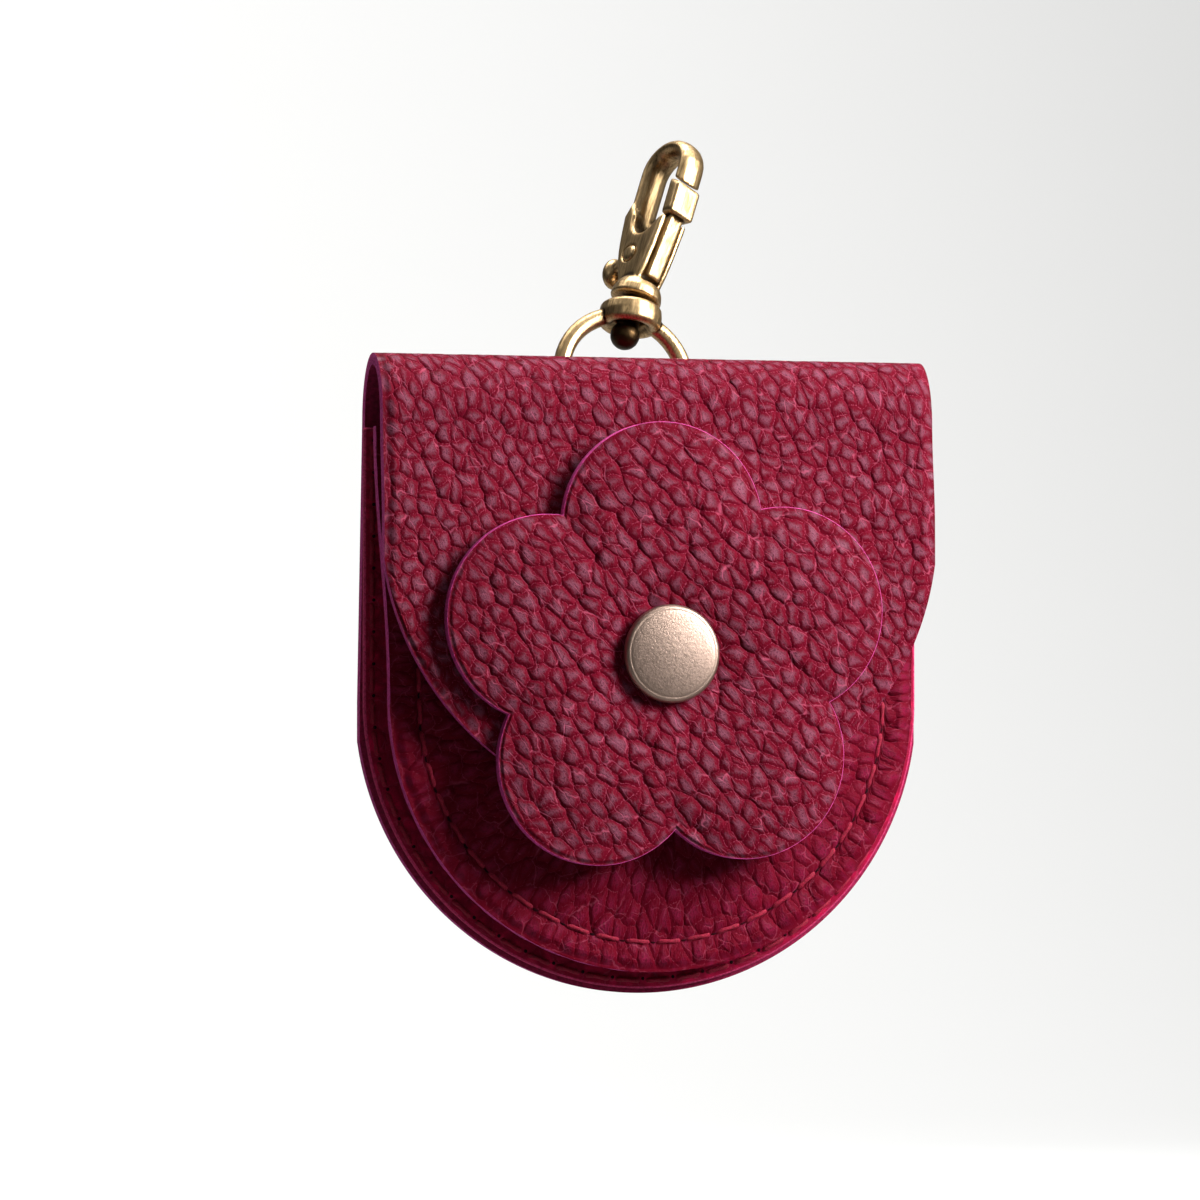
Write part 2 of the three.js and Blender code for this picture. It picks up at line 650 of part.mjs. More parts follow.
function hookGate() {
  const headZ = CHEEK_TOP_Z + GAP;
  const hub = PIN_RADIUS + GAP + 0.9;
  const lever = new THREE.Shape();
  lever.moveTo(3.1, 3.4);
  lever.lineTo(gateOutside - 0.7, headZ + 1);
  lever.lineTo(gateInside, headZ + 1);
  lever.bezierCurveTo(gateInside - 0.2, 11, 1.6, PIVOT_Z + hub, PIVOT_X, PIVOT_Z + hub);
  lever.bezierCurveTo(-3, PIVOT_Z + hub, -5, 8, KNOB_X + 0.9, KNOB_Z + 1.8);
  lever.lineTo(KNOB_X + 0.9, KNOB_Z - 0.4);
  lever.lineTo(-4.2, KNOB_Z);
  lever.bezierCurveTo(-2, KNOB_Z + 0.1, 0, 3.4, 3.1, 3.4);
  const head = gateOutline(gateInside, gateOutside, headZ, SEAM_RADIUS);
  const knob = new THREE.SphereGeometry(1, 12, 8);
  knob.scale(1.5, 2.3, 2.7).translate(KNOB_X, 0, KNOB_Z);
  return geometryOf(
    plate(lever, 2 * LEVER_HALF_WIDTH, 0.3, 6)
      .add(plate(head, GATE_THICKNESS, 0.5, 1))
      .add(solid(knob))
      .subtract(pivotHole(PIN_RADIUS + GAP)),
  );
}

function gatePin() {
  const headFrom = SLOT_HALF_WIDTH;
  const headTo = CHEEK_THICKNESS / 2;
  const half = [
    [PIN_RADIUS, headFrom],
    [RIVET_RADIUS, headFrom],
    [RIVET_RADIUS, headTo],
    [RIVET_RADIUS - 0.5, headTo + RIVET_PROUD],
    [0, headTo + RIVET_PROUD],
  ];
  const mirrored = half.map(([r, y]) => [r, -y]).reverse();
  return aboutPivot([...mirrored, ...half], 14);
}

// Assembly

const leatherFinish = new THREE.MeshStandardMaterial({ color: 0x7f0d2d, roughness: 0.5 });
const hideFinish = new THREE.MeshStandardMaterial({ color: 0x6a0824, roughness: 0.6 });
const capFinish = new THREE.MeshStandardMaterial({ color: 0xb59d7d, roughness: 0.4, metalness: 1 });
const brassFinish = new THREE.MeshStandardMaterial({
  color: 0x9c7c47,
  roughness: 0.35,
  metalness: 1,
});

function piece(name, geometry, finish) {
  geometry.computeVertexNormals();
  const mesh = new THREE.Mesh(geometry, finish);
  mesh.name = name;
  return mesh;
}

const hook = new THREE.Group();
hook.position.z = BOSS_HEIGHT / 2 + GAP + DOME_RADIUS * Math.tan(SHANK_LEAN);
hook.rotation.z = HOOK_TURN;
hook.add(piece("hook_body", hookBody(), brassFinish));
hook.add(piece("hook_gate", hookGate(), brassFinish));
hook.add(piece("gate_pin", gatePin(), brassFinish));

const shank = new THREE.Group();
shank.position.z = EYE_HEIGHT;
shank.rotation.y = SHANK_LEAN;
shank.add(hook);

// The eye leans back about its bar, and then bar and all lean to the right.
const swivel = new THREE.Group();
swivel.position.set(BAR_X, BAR_Y, BAR_Z);
swivel.rotation.order = "YXZ";
swivel.rotation.set(-LEAN_BACK, LEAN_RIGHT, 0);
swivel.add(piece("swivel_eye", swivelEye(), brassFinish));
swivel.add(shank);

const pouch = new THREE.Group();
pouch.add(piece("back_flap", backFlap(), leatherFinish));
pouch.add(piece("front_panel", frontPanel(), leatherFinish));
pouch.add(piece("gusset", gusset(), hideFinish));
pouch.add(piece("flower", flower(), leatherFinish));
pouch.add(piece("snap_cap", snapCap(), capFinish));
pouch.add(piece("snap_stud", snapStud(), capFinish));
pouch.add(piece("hang_tab", hangTab(), hideFinish));
pouch.add(swivel);
pouch.updateMatrixWorld(true);

// The seat of the hook becomes the origin.
const seat = hook.localToWorld(new THREE.Vector3(0, 0, CROWN_Z + SEAT_RADIUS));
pouch.position.copy(seat).negate();

const group = new THREE.Group();
group.add(pouch);

export default group;
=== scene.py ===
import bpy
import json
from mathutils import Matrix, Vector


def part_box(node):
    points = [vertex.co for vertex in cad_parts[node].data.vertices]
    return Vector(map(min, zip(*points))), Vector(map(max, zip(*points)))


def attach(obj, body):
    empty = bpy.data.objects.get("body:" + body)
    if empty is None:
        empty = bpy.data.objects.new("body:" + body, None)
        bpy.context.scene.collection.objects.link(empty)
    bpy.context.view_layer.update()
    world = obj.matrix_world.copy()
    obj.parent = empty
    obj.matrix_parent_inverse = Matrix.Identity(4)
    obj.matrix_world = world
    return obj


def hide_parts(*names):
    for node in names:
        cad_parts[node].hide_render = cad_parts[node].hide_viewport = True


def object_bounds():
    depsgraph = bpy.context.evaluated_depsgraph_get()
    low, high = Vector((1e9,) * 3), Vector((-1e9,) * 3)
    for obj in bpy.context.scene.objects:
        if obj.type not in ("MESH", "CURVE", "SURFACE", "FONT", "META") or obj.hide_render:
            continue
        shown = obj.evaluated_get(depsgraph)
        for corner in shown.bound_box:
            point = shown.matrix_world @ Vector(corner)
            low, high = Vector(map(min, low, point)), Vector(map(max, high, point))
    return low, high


bl_info = {
    "name": "Leather flap pouch",
    "version": (1, 0, 0),
    "blender": (4, 5, 0),
    "location": "View3D > Sidebar > Pouch",
    "description": "A pebble-grain leather flap pouch with a flower, on an aged brass trigger hook",
    "category": "Object",
}

import json
import math

import bpy
import numpy as np
from bpy.props import FloatProperty, FloatVectorProperty, PointerProperty
from mathutils import Matrix, Vector

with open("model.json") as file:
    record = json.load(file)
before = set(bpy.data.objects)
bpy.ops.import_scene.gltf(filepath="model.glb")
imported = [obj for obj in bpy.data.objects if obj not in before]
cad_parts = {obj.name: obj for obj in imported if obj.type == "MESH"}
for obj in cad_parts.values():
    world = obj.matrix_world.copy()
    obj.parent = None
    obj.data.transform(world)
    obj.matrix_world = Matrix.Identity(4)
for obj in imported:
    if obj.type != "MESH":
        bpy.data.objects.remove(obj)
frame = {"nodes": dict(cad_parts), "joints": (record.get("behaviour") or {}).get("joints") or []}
cad_box = [list(corner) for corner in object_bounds()]

MM = 0.001
BACK_LOW, BACK_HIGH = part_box("back_flap")

# The pouch's own frame: X across, Y towards the back, Z up, from the middle of the back
# panel's outer face at the height of the fold's top.
POUCH = Vector(((BACK_LOW.x + BACK_HIGH.x) / 2, BACK_HIGH.y, BACK_HIGH.z))

PETALS = 5

# Where the grain's relief starts and where it is full, from a cut edge.
EDGE_RAMP = 0.2 * MM, 2 * MM


def swivel():
    return next(joint for joint in frame["joints"] if joint["name"] == "hook_swivel")


def swivel_axis():
    return Vector(swivel()["axis"])


# Properties

def length(name, description, millimetres):
    return FloatProperty(
        name=name, description=description, default=millimetres * MM, precision=5, unit="LENGTH"
    )


def angle(name, description, degrees):
    return FloatProperty(
        name=name, description=description, default=math.radians(degrees), subtype="ANGLE"
    )


def share(name, description, value):
    return FloatProperty(name=name, description=description, default=value, min=0, subtype="FACTOR")


def colour(name, description, red, green, blue):
    tone = red, green, blue
    return FloatVectorProperty(
        name=name, description=description, default=tone, min=0, max=1, subtype="COLOR"
    )


class PouchSizes(bpy.types.PropertyGroup):
    leather: length("Leather", "Thickness of the panels, flap and flower", 1.8)
    gusset_leather: length("Gusset leather", "Thickness of the gusset", 1.3)
    tab_leather: length("Tab leather", "Thickness of the hanging tab", 1.6)
    gap: length("Gap", "Clearance between pieces that touch", 0.3)
    width: length("Width", "Width of the back panel", 88.8)
    flap_width: length("Flap width", "Width from the fold on", 87.3)
    height: length("Height", "Top of the fold to the round bottom", 97.6)
    edge_turn: angle("Edge turn", "How far the round ends turn before the straight sides", 82)
    fold_depth: length("Fold depth", "Depth of the fold over its outer faces", 13.5)
    fold_height: length("Fold height", "Height of the round fold", 10)
    flap_drop: length("Flap drop", "Fold top to the centre of the flap's round end", 25.3)
    flap_lean: length("Flap lean", "How far the flap stands forward below the fold", 1.2)
    flap_swell: length("Flap swell", "How far its middle stands forward besides", 1.3)
    front_drop: length("Front drop", "Fold top to the front panel's top edge", 11.2)
    front_radius: length("Front radius", "Radius of the front panel's round bottom", 41.5)
    front_top: length("Front top", "Half-width of the front panel at its top", 43.4)
    mouth_depth: length("Mouth depth", "Middle of back to middle of front at the mouth", 6.2)
    body_depth: length("Body depth", "Middle of back to middle of front lower down", 7.6)
    deep_drop: length("Deep drop", "Fold top to where the depth is full", 44)
    seam_inset: length("Seam inset", "Stitches from the raw edge", 4.6)
    seam_dip: length("Seam dip", "How far the stitches draw the leather in", 0.32)
    pucker: length("Pucker", "How far the seam margin puffs up between stitches", 0.14)
    pitch: length("Stitch pitch", "Distance between stitch holes", 4.9)
    thread: length("Thread", "Thickness of the sewing thread", 0.75)
    swell: length("Swell", "How far the front swells inside its seam", 2.3)
    swell_reach: length("Swell reach", "Width over which it swells", 22)
    mouth_swell: share("Mouth swell", "Share of the swell that is left at the mouth", 0.55)
    flange_start: length("Flange start", "Half-width where the gusset's flanges begin", 37)
    web_bow: length("Web bow", "How far the gusset's web bends in past them", 1.6)
    tab_width: length("Tab width", "Width of the hanging tab", 11.8)
    tab_length: length("Tab length", "Length of the tab below the eye's bar", 24)
    bar_x: length("Bar place", "Middle of the eye's bar across the pouch", -1.3)
    bar_drop: length("Bar drop", "Fold top to the eye's bar", 4.2)
    slot_radius: length("Slot radius", "Radius of the tab's loop round the bar", 1.75)
    slot_half_height: length("Slot height", "Half the height of that loop", 3.2)


class FlowerSizes(bpy.types.PropertyGroup):
    snap_drop: length("Snap drop", "Fold top to the middle of the snap", 45.8)
    petal_radius: length("Petal radius", "Radius of each petal's round end", 15.8)
    petal_distance: length("Petal distance", "Snap to the centre of that radius", 19.6)
    turn: angle("Flower turn", "Direction of the top petal", 92.4)
    puff: length("Puff", "How far the petals stand forward of the snap", 0.9)
    curl: length("Curl", "How far their rims bend back", 1.3)
    tuck: length("Tuck", "Depth of the small folds drawn in by the snap", 0.14)
    cap_radius: length("Cap radius", "Radius of the snap's cap", 7.5)
    cap_height: length("Cap height", "Height of the snap's cap", 2.6)
    post_radius: length("Post radius", "Radius of the cap's post", 1.9)
    socket_radius: length("Socket radius", "Radius of the socket behind the flap", 5)
    socket_height: length("Socket height", "Height of that socket", 1.3)
    stud_radius: length("Stud radius", "Radius of the stud's post", 1.5)


class GrainSizes(bpy.types.PropertyGroup):
    cell: length("Cell", "Width of a pebble of the grain", 2.25)
    relief: length("Relief", "Height of the pebbles in the meshes", 0.09)
    bump: length("Bump", "Height of the creases in the finish", 0.5)


class PouchColours(bpy.types.PropertyGroup):
    # The pebble tops' greyish mauve is painted sheen mixed into the leather's crimson. The
    # sheltered tops under the flap carry much less painted sheen.
    pebble: colour("Pebble", "Rubbed tops of the leather's pebbles", 0.174, 0.045, 0.075)
    sheltered: colour("Sheltered pebble", "Tops of the pebbles under the flap", 0.17, 0.008, 0.032)
    valley: colour("Valley", "Slopes between the pebbles", 0.105, 0.0, 0.008)
    # The pale crease colour is partly the paler leather of real creases and partly a painted
    # highlight where crease walls catch the light.
    crease: colour("Crease", "Dry creases at the bottom of the valleys", 0.36, 0.06, 0.11)
    pore: colour("Pore", "Dark pores in the tops", 0.045, 0.0, 0.004)
    inner: colour("Inner leather", "Smoother leather of the gusset and tab", 0.43, 0.007, 0.05)
    raw_edge: colour("Raw edge", "Cut edge of the leather", 0.6, 0.055, 0.27)
    burnished: colour("Burnished edge", "Rubbed edge of the gusset and tab", 0.55, 0.035, 0.13)
    # The stitch-hole colour is near black: painted shade inside the needle holes, which the shallow
    # dimples don't cast.
    hole: colour("Stitch hole", "Inside of the stitch holes", 0.012, 0.001, 0.003)
    flesh: colour("Flesh side", "Inner face of the leather", 0.3, 0.014, 0.065)
    thread: colour("Thread", "Sewing thread", 0.27, 0.006, 0.028)
    cap: colour("Cap brass", "Satin brass of the snap", 0.35, 0.25, 0.2)
    brass: colour("Aged brass", "Brass of the hook where it is rubbed", 0.64, 0.44, 0.22)
    dull_brass: colour("Dull brass", "Brass of the hook in its scratches", 0.3, 0.19, 0.085)
    patina: colour("Patina", "Dark patina in the hook's hollows", 0.045, 0.026, 0.011)
    backdrop: colour("Backdrop", "Floor and wall", 0.82, 0.82, 0.81)
    bounce: colour("Bounce", "What the floor and wall throw back on the pouch", 0.2, 0.2, 0.2)


class ViewSizes(bpy.types.PropertyGroup):
    azimuth: angle("Azimuth", "Direction of view, from straight on", -15.5)
    elevation: angle("Elevation", "Height of the view above level", -2)
    distance: length("Distance", "Camera to the pouch", 1000)
    frame_width: length("Frame width", "Width of the picture at the pouch", 184)
    light_spread: angle("Light spread", "Width of the lights' beams, which a grid narrows", 60)


# Mesh helpers

def deselect():
    if bpy.context.object and bpy.context.object.mode != "OBJECT":
        bpy.ops.object.mode_set(mode="OBJECT")
    bpy.ops.object.select_all(action="DESELECT")


def activate(piece):
    deselect()
    piece.select_set(True)
    bpy.context.view_layer.objects.active = piece


def edit(piece, *steps):
    """Runs edit-mode operators on the whole of a piece."""
    activate(piece)
    bpy.ops.object.mode_set(mode="EDIT")
    bpy.ops.mesh.select_all(action="SELECT")
    for step in steps:
        step()
    bpy.ops.object.mode_set(mode="OBJECT")


def apply_modifier(piece, kind, **settings):
    activate(piece)
    modifier = piece.modifiers.new(kind.lower(), kind)
    for key, value in settings.items():
        setattr(modifier, key, value)
    bpy.ops.object.modifier_apply(modifier=modifier.name)


def merge_doubles():
    bpy.ops.mesh.remove_doubles(threshold=1e-6)


def face_outwards():
    bpy.ops.mesh.normals_make_consistent(inside=False)


def places_of(mesh):
    numbers = np.empty(len(mesh.vertices) * 3)
    mesh.vertices.foreach_get("co", numbers)
    return numbers.reshape(-1, 3)


def store(mesh, name, values, kind="FLOAT"):
    attribute = mesh.attributes.new(name, kind, "POINT")
    key = "value" if kind == "FLOAT" else "vector"
    attribute.data.foreach_set(key, np.ascontiguousarray(values, dtype=np.float32).ravel())


def name_piece(piece, name):
    piece.name = name
    piece.data.name = name
    return piece


def linked(name, data):
    """A new object in the scene, with its data under the same name."""
    piece = bpy.data.objects.new(name, data)
    bpy.context.scene.collection.objects.link(piece)
    return name_piece(piece, name)


def hand_over(piece, body, nodes=()):
    """A finished piece joins its body and the solids that it stands for."""
    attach(piece, body)
    if nodes:
        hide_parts(*nodes)


def part(value, low, high):
    return np.clip((value - low) / (high - low), 0, 1)


def ramp(value, low, high):
    t = part(value, low, high)
    return t * t * (3 - 2 * t)


def mix(low, high, t):
    return low + (high - low) * t


def bell(value, middle, width):
    return np.exp(-(((value - middle) / width) ** 2))


def stages(v, marks):
    """How far each stage of a strip is passed, from the marks where the stages end."""
    return [part(v, low, high) for low, high in zip((0, *marks), (*marks, 1))]


def store_hollows(mesh, passes, depth):
    """How far each point lies in a hollow, from 0 on an edge to 1, by smoothing a copy."""
    places = places_of(mesh)
    ends = np.empty(len(mesh.edges) * 2, dtype=np.int64)
    mesh.edges.foreach_get("vertices", ends)
    ends = ends.reshape(-1, 2)
    count = np.bincount(ends.ravel(), minlength=len(places)).clip(1)[:, None]
    smooth = places.copy()
    for _ in range(passes):
        total = np.zeros_like(smooth)
        np.add.at(total, ends[:, 0], smooth[ends[:, 1]])
        np.add.at(total, ends[:, 1], smooth[ends[:, 0]])
        smooth = total / count
    normals = np.empty(len(places) * 3)
    mesh.vertex_normals.foreach_get("vector", normals)
    sunk = ((smooth - places) * normals.reshape(-1, 3)).sum(1)
    store(mesh, "hollow", np.clip(0.5 + sunk / depth, 0, 1))


def cast_copy(node, name, voxel, passes):
    """A copy of a solid with its facets and corners softened, as a casting has them."""
    deselect()
    mesh = frame["nodes"][node].data.copy()
    mesh.materials.clear()
    piece = linked(name, mesh)
    edit(piece, merge_doubles)
    apply_modifier(piece, "REMESH", mode="VOXEL", voxel_size=voxel)
    apply_modifier(piece, "SMOOTH", factor=0.5, iterations=passes)
    activate(piece)
    bpy.ops.object.shade_smooth()
    store_hollows(piece.data, passes=40, depth=0.35 * MM)
    return piece


# Leather forms, as middle surfaces in the pouch's frame

def end_radius(s):
    return s.width / 2 / math.sin(s.edge_turn)


def body_centre(s):
    return end_radius(s) - s.height


def flap_y(s, f, x, z):
    stand = s.flap_lean * ramp(-z, s.fold_height, s.flap_drop)
    crown = 1 - (2 * x / s.width) ** 2
    swell = s.flap_swell * crown * ramp(-z, s.fold_height, f.snap_drop)
    return s.leather / 2 - s.fold_depth - stand - swell


def body_depth(s, z):
    return mix(s.mouth_depth, s.body_depth, ramp(-z, s.front_drop, s.deep_drop))


def front_half_width(s, z):
    return mix(s.front_radius, s.front_top, ramp(z, body_centre(s), -s.front_drop))


def front_inset(s, x, z):
    """Distance inside the front panel's raw edge."""
    low = s.front_radius - np.hypot(x, z - body_centre(s))
    high = front_half_width(s, z) - np.abs(x)
    return np.where(z < body_centre(s), low, high)


def pucker_wave(s, x, z):
    """1 at the stitch holes of the front seam and -1 between them."""
    radius, centre = s.front_radius - s.seam_inset, body_centre(s)
    bottom = np.arctan2(x, centre - z) * radius
    side = np.sign(x) * (math.pi / 2 * radius + z - centre)
    half = math.pi / 2 * radius + seam_top(s) - centre
    count = round(2 * half / s.pitch)
    return np.cos(math.pi * count * (np.where(z < centre, bottom, side) / half + 1))


def seam_top(s):
    return -s.front_drop - 2 * MM


def front_y(s, x, z):
    inset = front_inset(s, x, z)
    rise = np.clip((inset - s.seam_inset) / s.swell_reach, 0, 1)
    kept = mix(s.mouth_swell, 1, ramp(-z, s.front_drop, s.deep_drop))
    swell = s.swell * kept * (1 - (1 - rise) ** 2)
    dip_width, margin_middle, margin_width = 0.8 * MM, 0.55 * s.seam_inset, 0.4 * s.seam_inset
    dip = s.seam_dip * bell(inset, s.seam_inset, dip_width)
    puff = s.pucker * bell(inset, margin_middle, margin_width) * pucker_wave(s, x, z)
    return -s.leather / 2 - body_depth(s, z) - swell + dip + puff


def petal_reach(f, turn):
    step = 2 * math.pi / PETALS
    off = turn - f.turn
    off = off - step * np.round(off / step)
    across = f.petal_distance * np.sin(off)
    return f.petal_distance * np.cos(off) + np.sqrt(f.petal_radius**2 - across**2)


def flower_seat(s, f):
    return float(flap_y(s, f, 0.0, -f.snap_drop)) - s.leather - s.gap


def flower_y(s, f, x, z):
    out, turn = np.hypot(x, z + f.snap_drop), np.arctan2(z + f.snap_drop, x)
    cap, puff_start, puff_end, tuck_start, tuck_end = f.cap_radius, 1 * MM, 7 * MM, 2 * MM, 6 * MM
    folds, uneven, uneven_folds = 13, 2, 4
    curl_start = 0.6
    puff = f.puff * ramp(out, cap - puff_start, cap + puff_end)
    tuck = f.tuck * np.sin(folds * turn + uneven * np.sin(uneven_folds * turn))
    tuck = tuck * ramp(out, cap - tuck_start, cap) * (1 - ramp(out, cap, cap + tuck_end))
    curl = f.curl * ramp(out / petal_reach(f, turn), curl_start, 1)
    return flower_seat(s, f) - puff + tuck + curl


def grain_at(across, along, cell, stretch, turn):
    """Coordinates in pebbles, with the pebbles stretched along a direction of the leather."""
    c, n = math.cos(turn), math.sin(turn)
    return (across * c + along * n) / (cell * stretch), (along * c - across * n) / cell


def bent_sheet(name, columns, rows, shape, *steps):
    """A grid bent to shape(u, v), which gives places, grain coordinates and relief.

    Edit-mode steps on the whole sheet may follow.
    """
    deselect()
    bpy.ops.mesh.primitive_grid_add(x_subdivisions=columns, y_subdivisions=rows, size=1)
    piece = name_piece(bpy.context.object, name)
    flat = places_of(piece.data)
    places, grain, relief = shape(flat[:, 0] + 0.5, flat[:, 1] + 0.5)
    placed = np.stack(np.broadcast_arrays(*places), 1) + np.array(POUCH)
    piece.data.vertices.foreach_set("co", placed.ravel())
    store(piece.data, "grain", np.stack([*grain, 0 * relief], 1), "FLOAT_VECTOR")
    store(piece.data, "relief", relief)
    piece.data.update()
    if steps:
        edit(piece, *steps)
    return piece


def make_leather(piece, thickness, finishes, relief):
    """Gives a sheet its thickness, a rounded raw edge and raised pebbles on its grain side."""
    piece.data.materials.clear()
    for finish in finishes:
        piece.data.materials.append(finish)
    # The grain side has the first finish, the edge the second and the flesh side the third.
    sides = {"material_offset": 2, "material_offset_rim": 1}
    apply_modifier(piece, "SOLIDIFY", thickness=thickness, offset=0, use_even_offset=True, **sides)
    corner = {"limit_method": "ANGLE", "angle_limit": math.radians(50), "material": 1}
    apply_modifier(piece, "BEVEL", width=0.3 * MM, segments=2, **corner)
    activate(piece)
    modifier = piece.modifiers.new("pebbles", "NODES")
    modifier.node_group = pebble_relief("pebble relief")
    height = modifier.node_group.interface.items_tree["Height"].identifier
    modifier[height] = relief
    bpy.ops.object.modifier_apply(modifier=modifier.name)
    bpy.ops.object.shade_smooth()


# Node helpers

def made_once(kind):
    """Makes a material or node group only if there is none of its name yet."""

    def wrap(make):
        def find(name, *settings, **named):
            made = getattr(bpy.data, kind)
            return made[name] if name in made else make(name, *settings, **named)

        return find

    return wrap


def feed(tree, node, inputs):
    """Links a node's inputs to other sockets, or sets them to numbers, vectors and colours."""
    for key, value in inputs.items():
        socket = node.inputs[key]
        if isinstance(value, bpy.types.NodeSocket):
            tree.links.new(value, socket)
        elif socket.type == "RGBA":
            socket.default_value = (*value, 1)
        else:
            socket.default_value = value


def add_node(tree, kind, inputs, **settings):
    node = tree.nodes.new(kind)
    for key, value in settings.items():
        setattr(node, key, value)
    feed(tree, node, inputs)
    return node


def maths(tree, operation, first, second):
    return add_node(tree, "ShaderNodeMath", {0: first, 1: second}, operation=operation).outputs[0]


def times(tree, first, second):
    return maths(tree, "MULTIPLY", first, second)


def vector_maths(tree, operation, inputs):
    return add_node(tree, "ShaderNodeVectorMath", inputs, operation=operation).outputs[0]


def scaled_sum(tree, value, *terms):
    """A value with other values added, each times a factor."""
    for term, factor in terms:
        value = maths(tree, "ADD", value, times(tree, term, factor))
    return value


def smooth_range(tree, value, low, high, to_low=0.0, to_high=1.0):
    keys = "Value", "From Min", "From Max", "To Min", "To Max"
    inputs = dict(zip(keys, (value, low, high, to_low, to_high)))
    node = add_node(tree, "ShaderNodeMapRange", inputs, interpolation_type="SMOOTHSTEP")
    return node.outputs["Result"]


def noise(tree, vector, scale, detail=2.0, roughness=0.5):
    inputs = {"Vector": vector, "Scale": scale, "Detail": detail, "Roughness": roughness}
    return add_node(tree, "ShaderNodeTexNoise", inputs).outputs


def cells(tree, vector, feature):
    settings = {"feature": feature, "voronoi_dimensions": "2D"}
    inputs = {"Vector": vector, "Scale": 1.0, "Randomness": 0.95}
    return add_node(tree, "ShaderNodeTexVoronoi", inputs, **settings).outputs["Distance"]


def bent_vector(tree, vector, scale, amount):
    """Bends the lines of a pattern by noise."""
    wave = noise(tree, vector, scale)["Color"]
    off = vector_maths(tree, "SUBTRACT", {0: wave, 1: (0.5, 0.5, 0.5)})
    return vector_maths(tree, "MULTIPLY_ADD", {0: off, 1: (amount, amount, amount), 2: vector})


def mixed(tree, factor, low, high):
    inputs = {0: factor, 6: low, 7: high}
    return add_node(tree, "ShaderNodeMix", inputs, data_type="RGBA").outputs[2]


def group_tree(name, kind, inputs, outputs):
    """A node group with sockets from tables of their names and kinds."""
    tree = bpy.data.node_groups.new(name, kind)
    for way, sockets in (("INPUT", inputs), ("OUTPUT", outputs)):
        for label, socket in sockets.items():
            tree.interface.new_socket(label, in_out=way, socket_type="NodeSocket" + socket)
    return tree, tree.nodes.new("NodeGroupInput"), tree.nodes.new("NodeGroupOutput")


def pebbles(tree, vector):
    """Bent coordinates, roundness of the pebbles and distance to the creases between them."""
    bent = bent_vector(tree, vector, scale=0.8, amount=0.7)
    bent = bent_vector(tree, bent, scale=2.4, amount=0.22)
    fullness = 3.0
    out = maths(tree, "POWER", cells(tree, bent, "F1"), fullness)
    return bent, maths(tree, "SUBTRACT", 1.0, out), cells(tree, bent, "DISTANCE_TO_EDGE")


@made_once("node_groups")
def pebble_relief(name):
    """Geometry nodes that raise the pebbles of the grain side, on the pattern of the finish."""
    sockets = {"Geometry": "Geometry", "Height": "Float"}, {"Geometry": "Geometry"}
    tree, start, end = group_tree(name, "GeometryNodeTree", *sockets)
    named = {}
    for key, kind in (("grain", "FLOAT_VECTOR"), ("relief", "FLOAT")):
        node = add_node(tree, "GeometryNodeInputNamedAttribute", {"Name": key}, data_type=kind)
        named[key] = node.outputs["Attribute"]
    _, dome, distance = pebbles(tree, named["grain"])
    crease_width, crease_sink, top_sink = 0.16, 1.2, 0.7
    sink = smooth_range(tree, distance, 0.0, crease_width, crease_sink, top_sink)
    height = times(tree, maths(tree, "SUBTRACT", dome, sink), named["relief"])
    height = times(tree, height, start.outputs["Height"])
    # Only faces with the first finish are on the grain side.
    side = tree.nodes.new("GeometryNodeInputMaterialIndex")
    first = add_node(tree, "FunctionNodeCompare", {}, data_type="INT", operation="EQUAL")
    tree.links.new(side.outputs[0], next(socket for socket in first.inputs if socket.type == "INT"))
    normal = tree.nodes.new("GeometryNodeInputNormal").outputs[0]
    inputs = {
        "Geometry": start.outputs["Geometry"],
        "Selection": first.outputs["Result"],
        "Offset": vector_maths(tree, "SCALE", {0: normal, "Scale": height}),
    }
    feed(tree, end, {"Geometry": add_node(tree, "GeometryNodeSetPosition", inputs).outputs[0]})
    return tree


@made_once("node_groups")
def pebble_grain(name):
    """Shader group: height and creases of pebbled leather from coordinates in pebbles."""
    outputs = dict.fromkeys(("Height", "Valley", "Crease", "Speckle"), "Float")
    tree, start, end = group_tree(name, "ShaderNodeTree", {"Vector": "Vector"}, outputs)
    vector = start.outputs["Vector"]
    bent, dome, distance = pebbles(tree, vector)
    uneven = noise(tree, vector, scale=0.9, detail=3)["Fac"]
    speckle = noise(tree, vector, scale=7, detail=3, roughness=0.65)["Fac"]
    line_width, groove_width, groove_depth = 0.04, 0.25, 0.25
    valley_range, pore_range = (0.72, 1.14), (0.5, 0.6)
    line_range, wrinkle_range = (0.47, 0.58), (0.38, 0.55)
    ragged = scaled_sum(tree, distance, (speckle, 0.9), (uneven, 0.4))
    # The fine lines in the valleys break off where the speckle is dark, and the long wrinkles
    # across the pebbles run only in parts of the leather.
    line = smooth_range(tree, distance, 0.0, line_width, 1.0, 0.0)
    line = times(tree, line, smooth_range(tree, speckle, *line_range))
    waves = bent_vector(tree, bent, scale=1.6, amount=0.45)
    stretched = vector_maths(tree, "MULTIPLY", {0: waves, 1: (0.4, 1.15, 1)})
    wrinkle = cells(tree, stretched, "DISTANCE_TO_EDGE")
    wrinkle = smooth_range(tree, wrinkle, 0.0, line_width, 1.0, 0.0)
    wrinkle = times(tree, wrinkle, smooth_range(tree, uneven, *wrinkle_range))
    crease = maths(tree, "MAXIMUM", line, wrinkle)
    groove = smooth_range(tree, distance, 0.0, groove_width, groove_depth, 0.0)
    height = scaled_sum(tree, dome, (dome, 1.0), (groove, -1.0), (crease, -0.2), (speckle, 0.5))
    results = {
        "Height": height,
        "Valley": smooth_range(tree, ragged, *valley_range, 1.0, 0.0),
        "Crease": crease,
        "Speckle": smooth_range(tree, speckle, *pore_range),
    }
    feed(tree, end, results)
    return tree


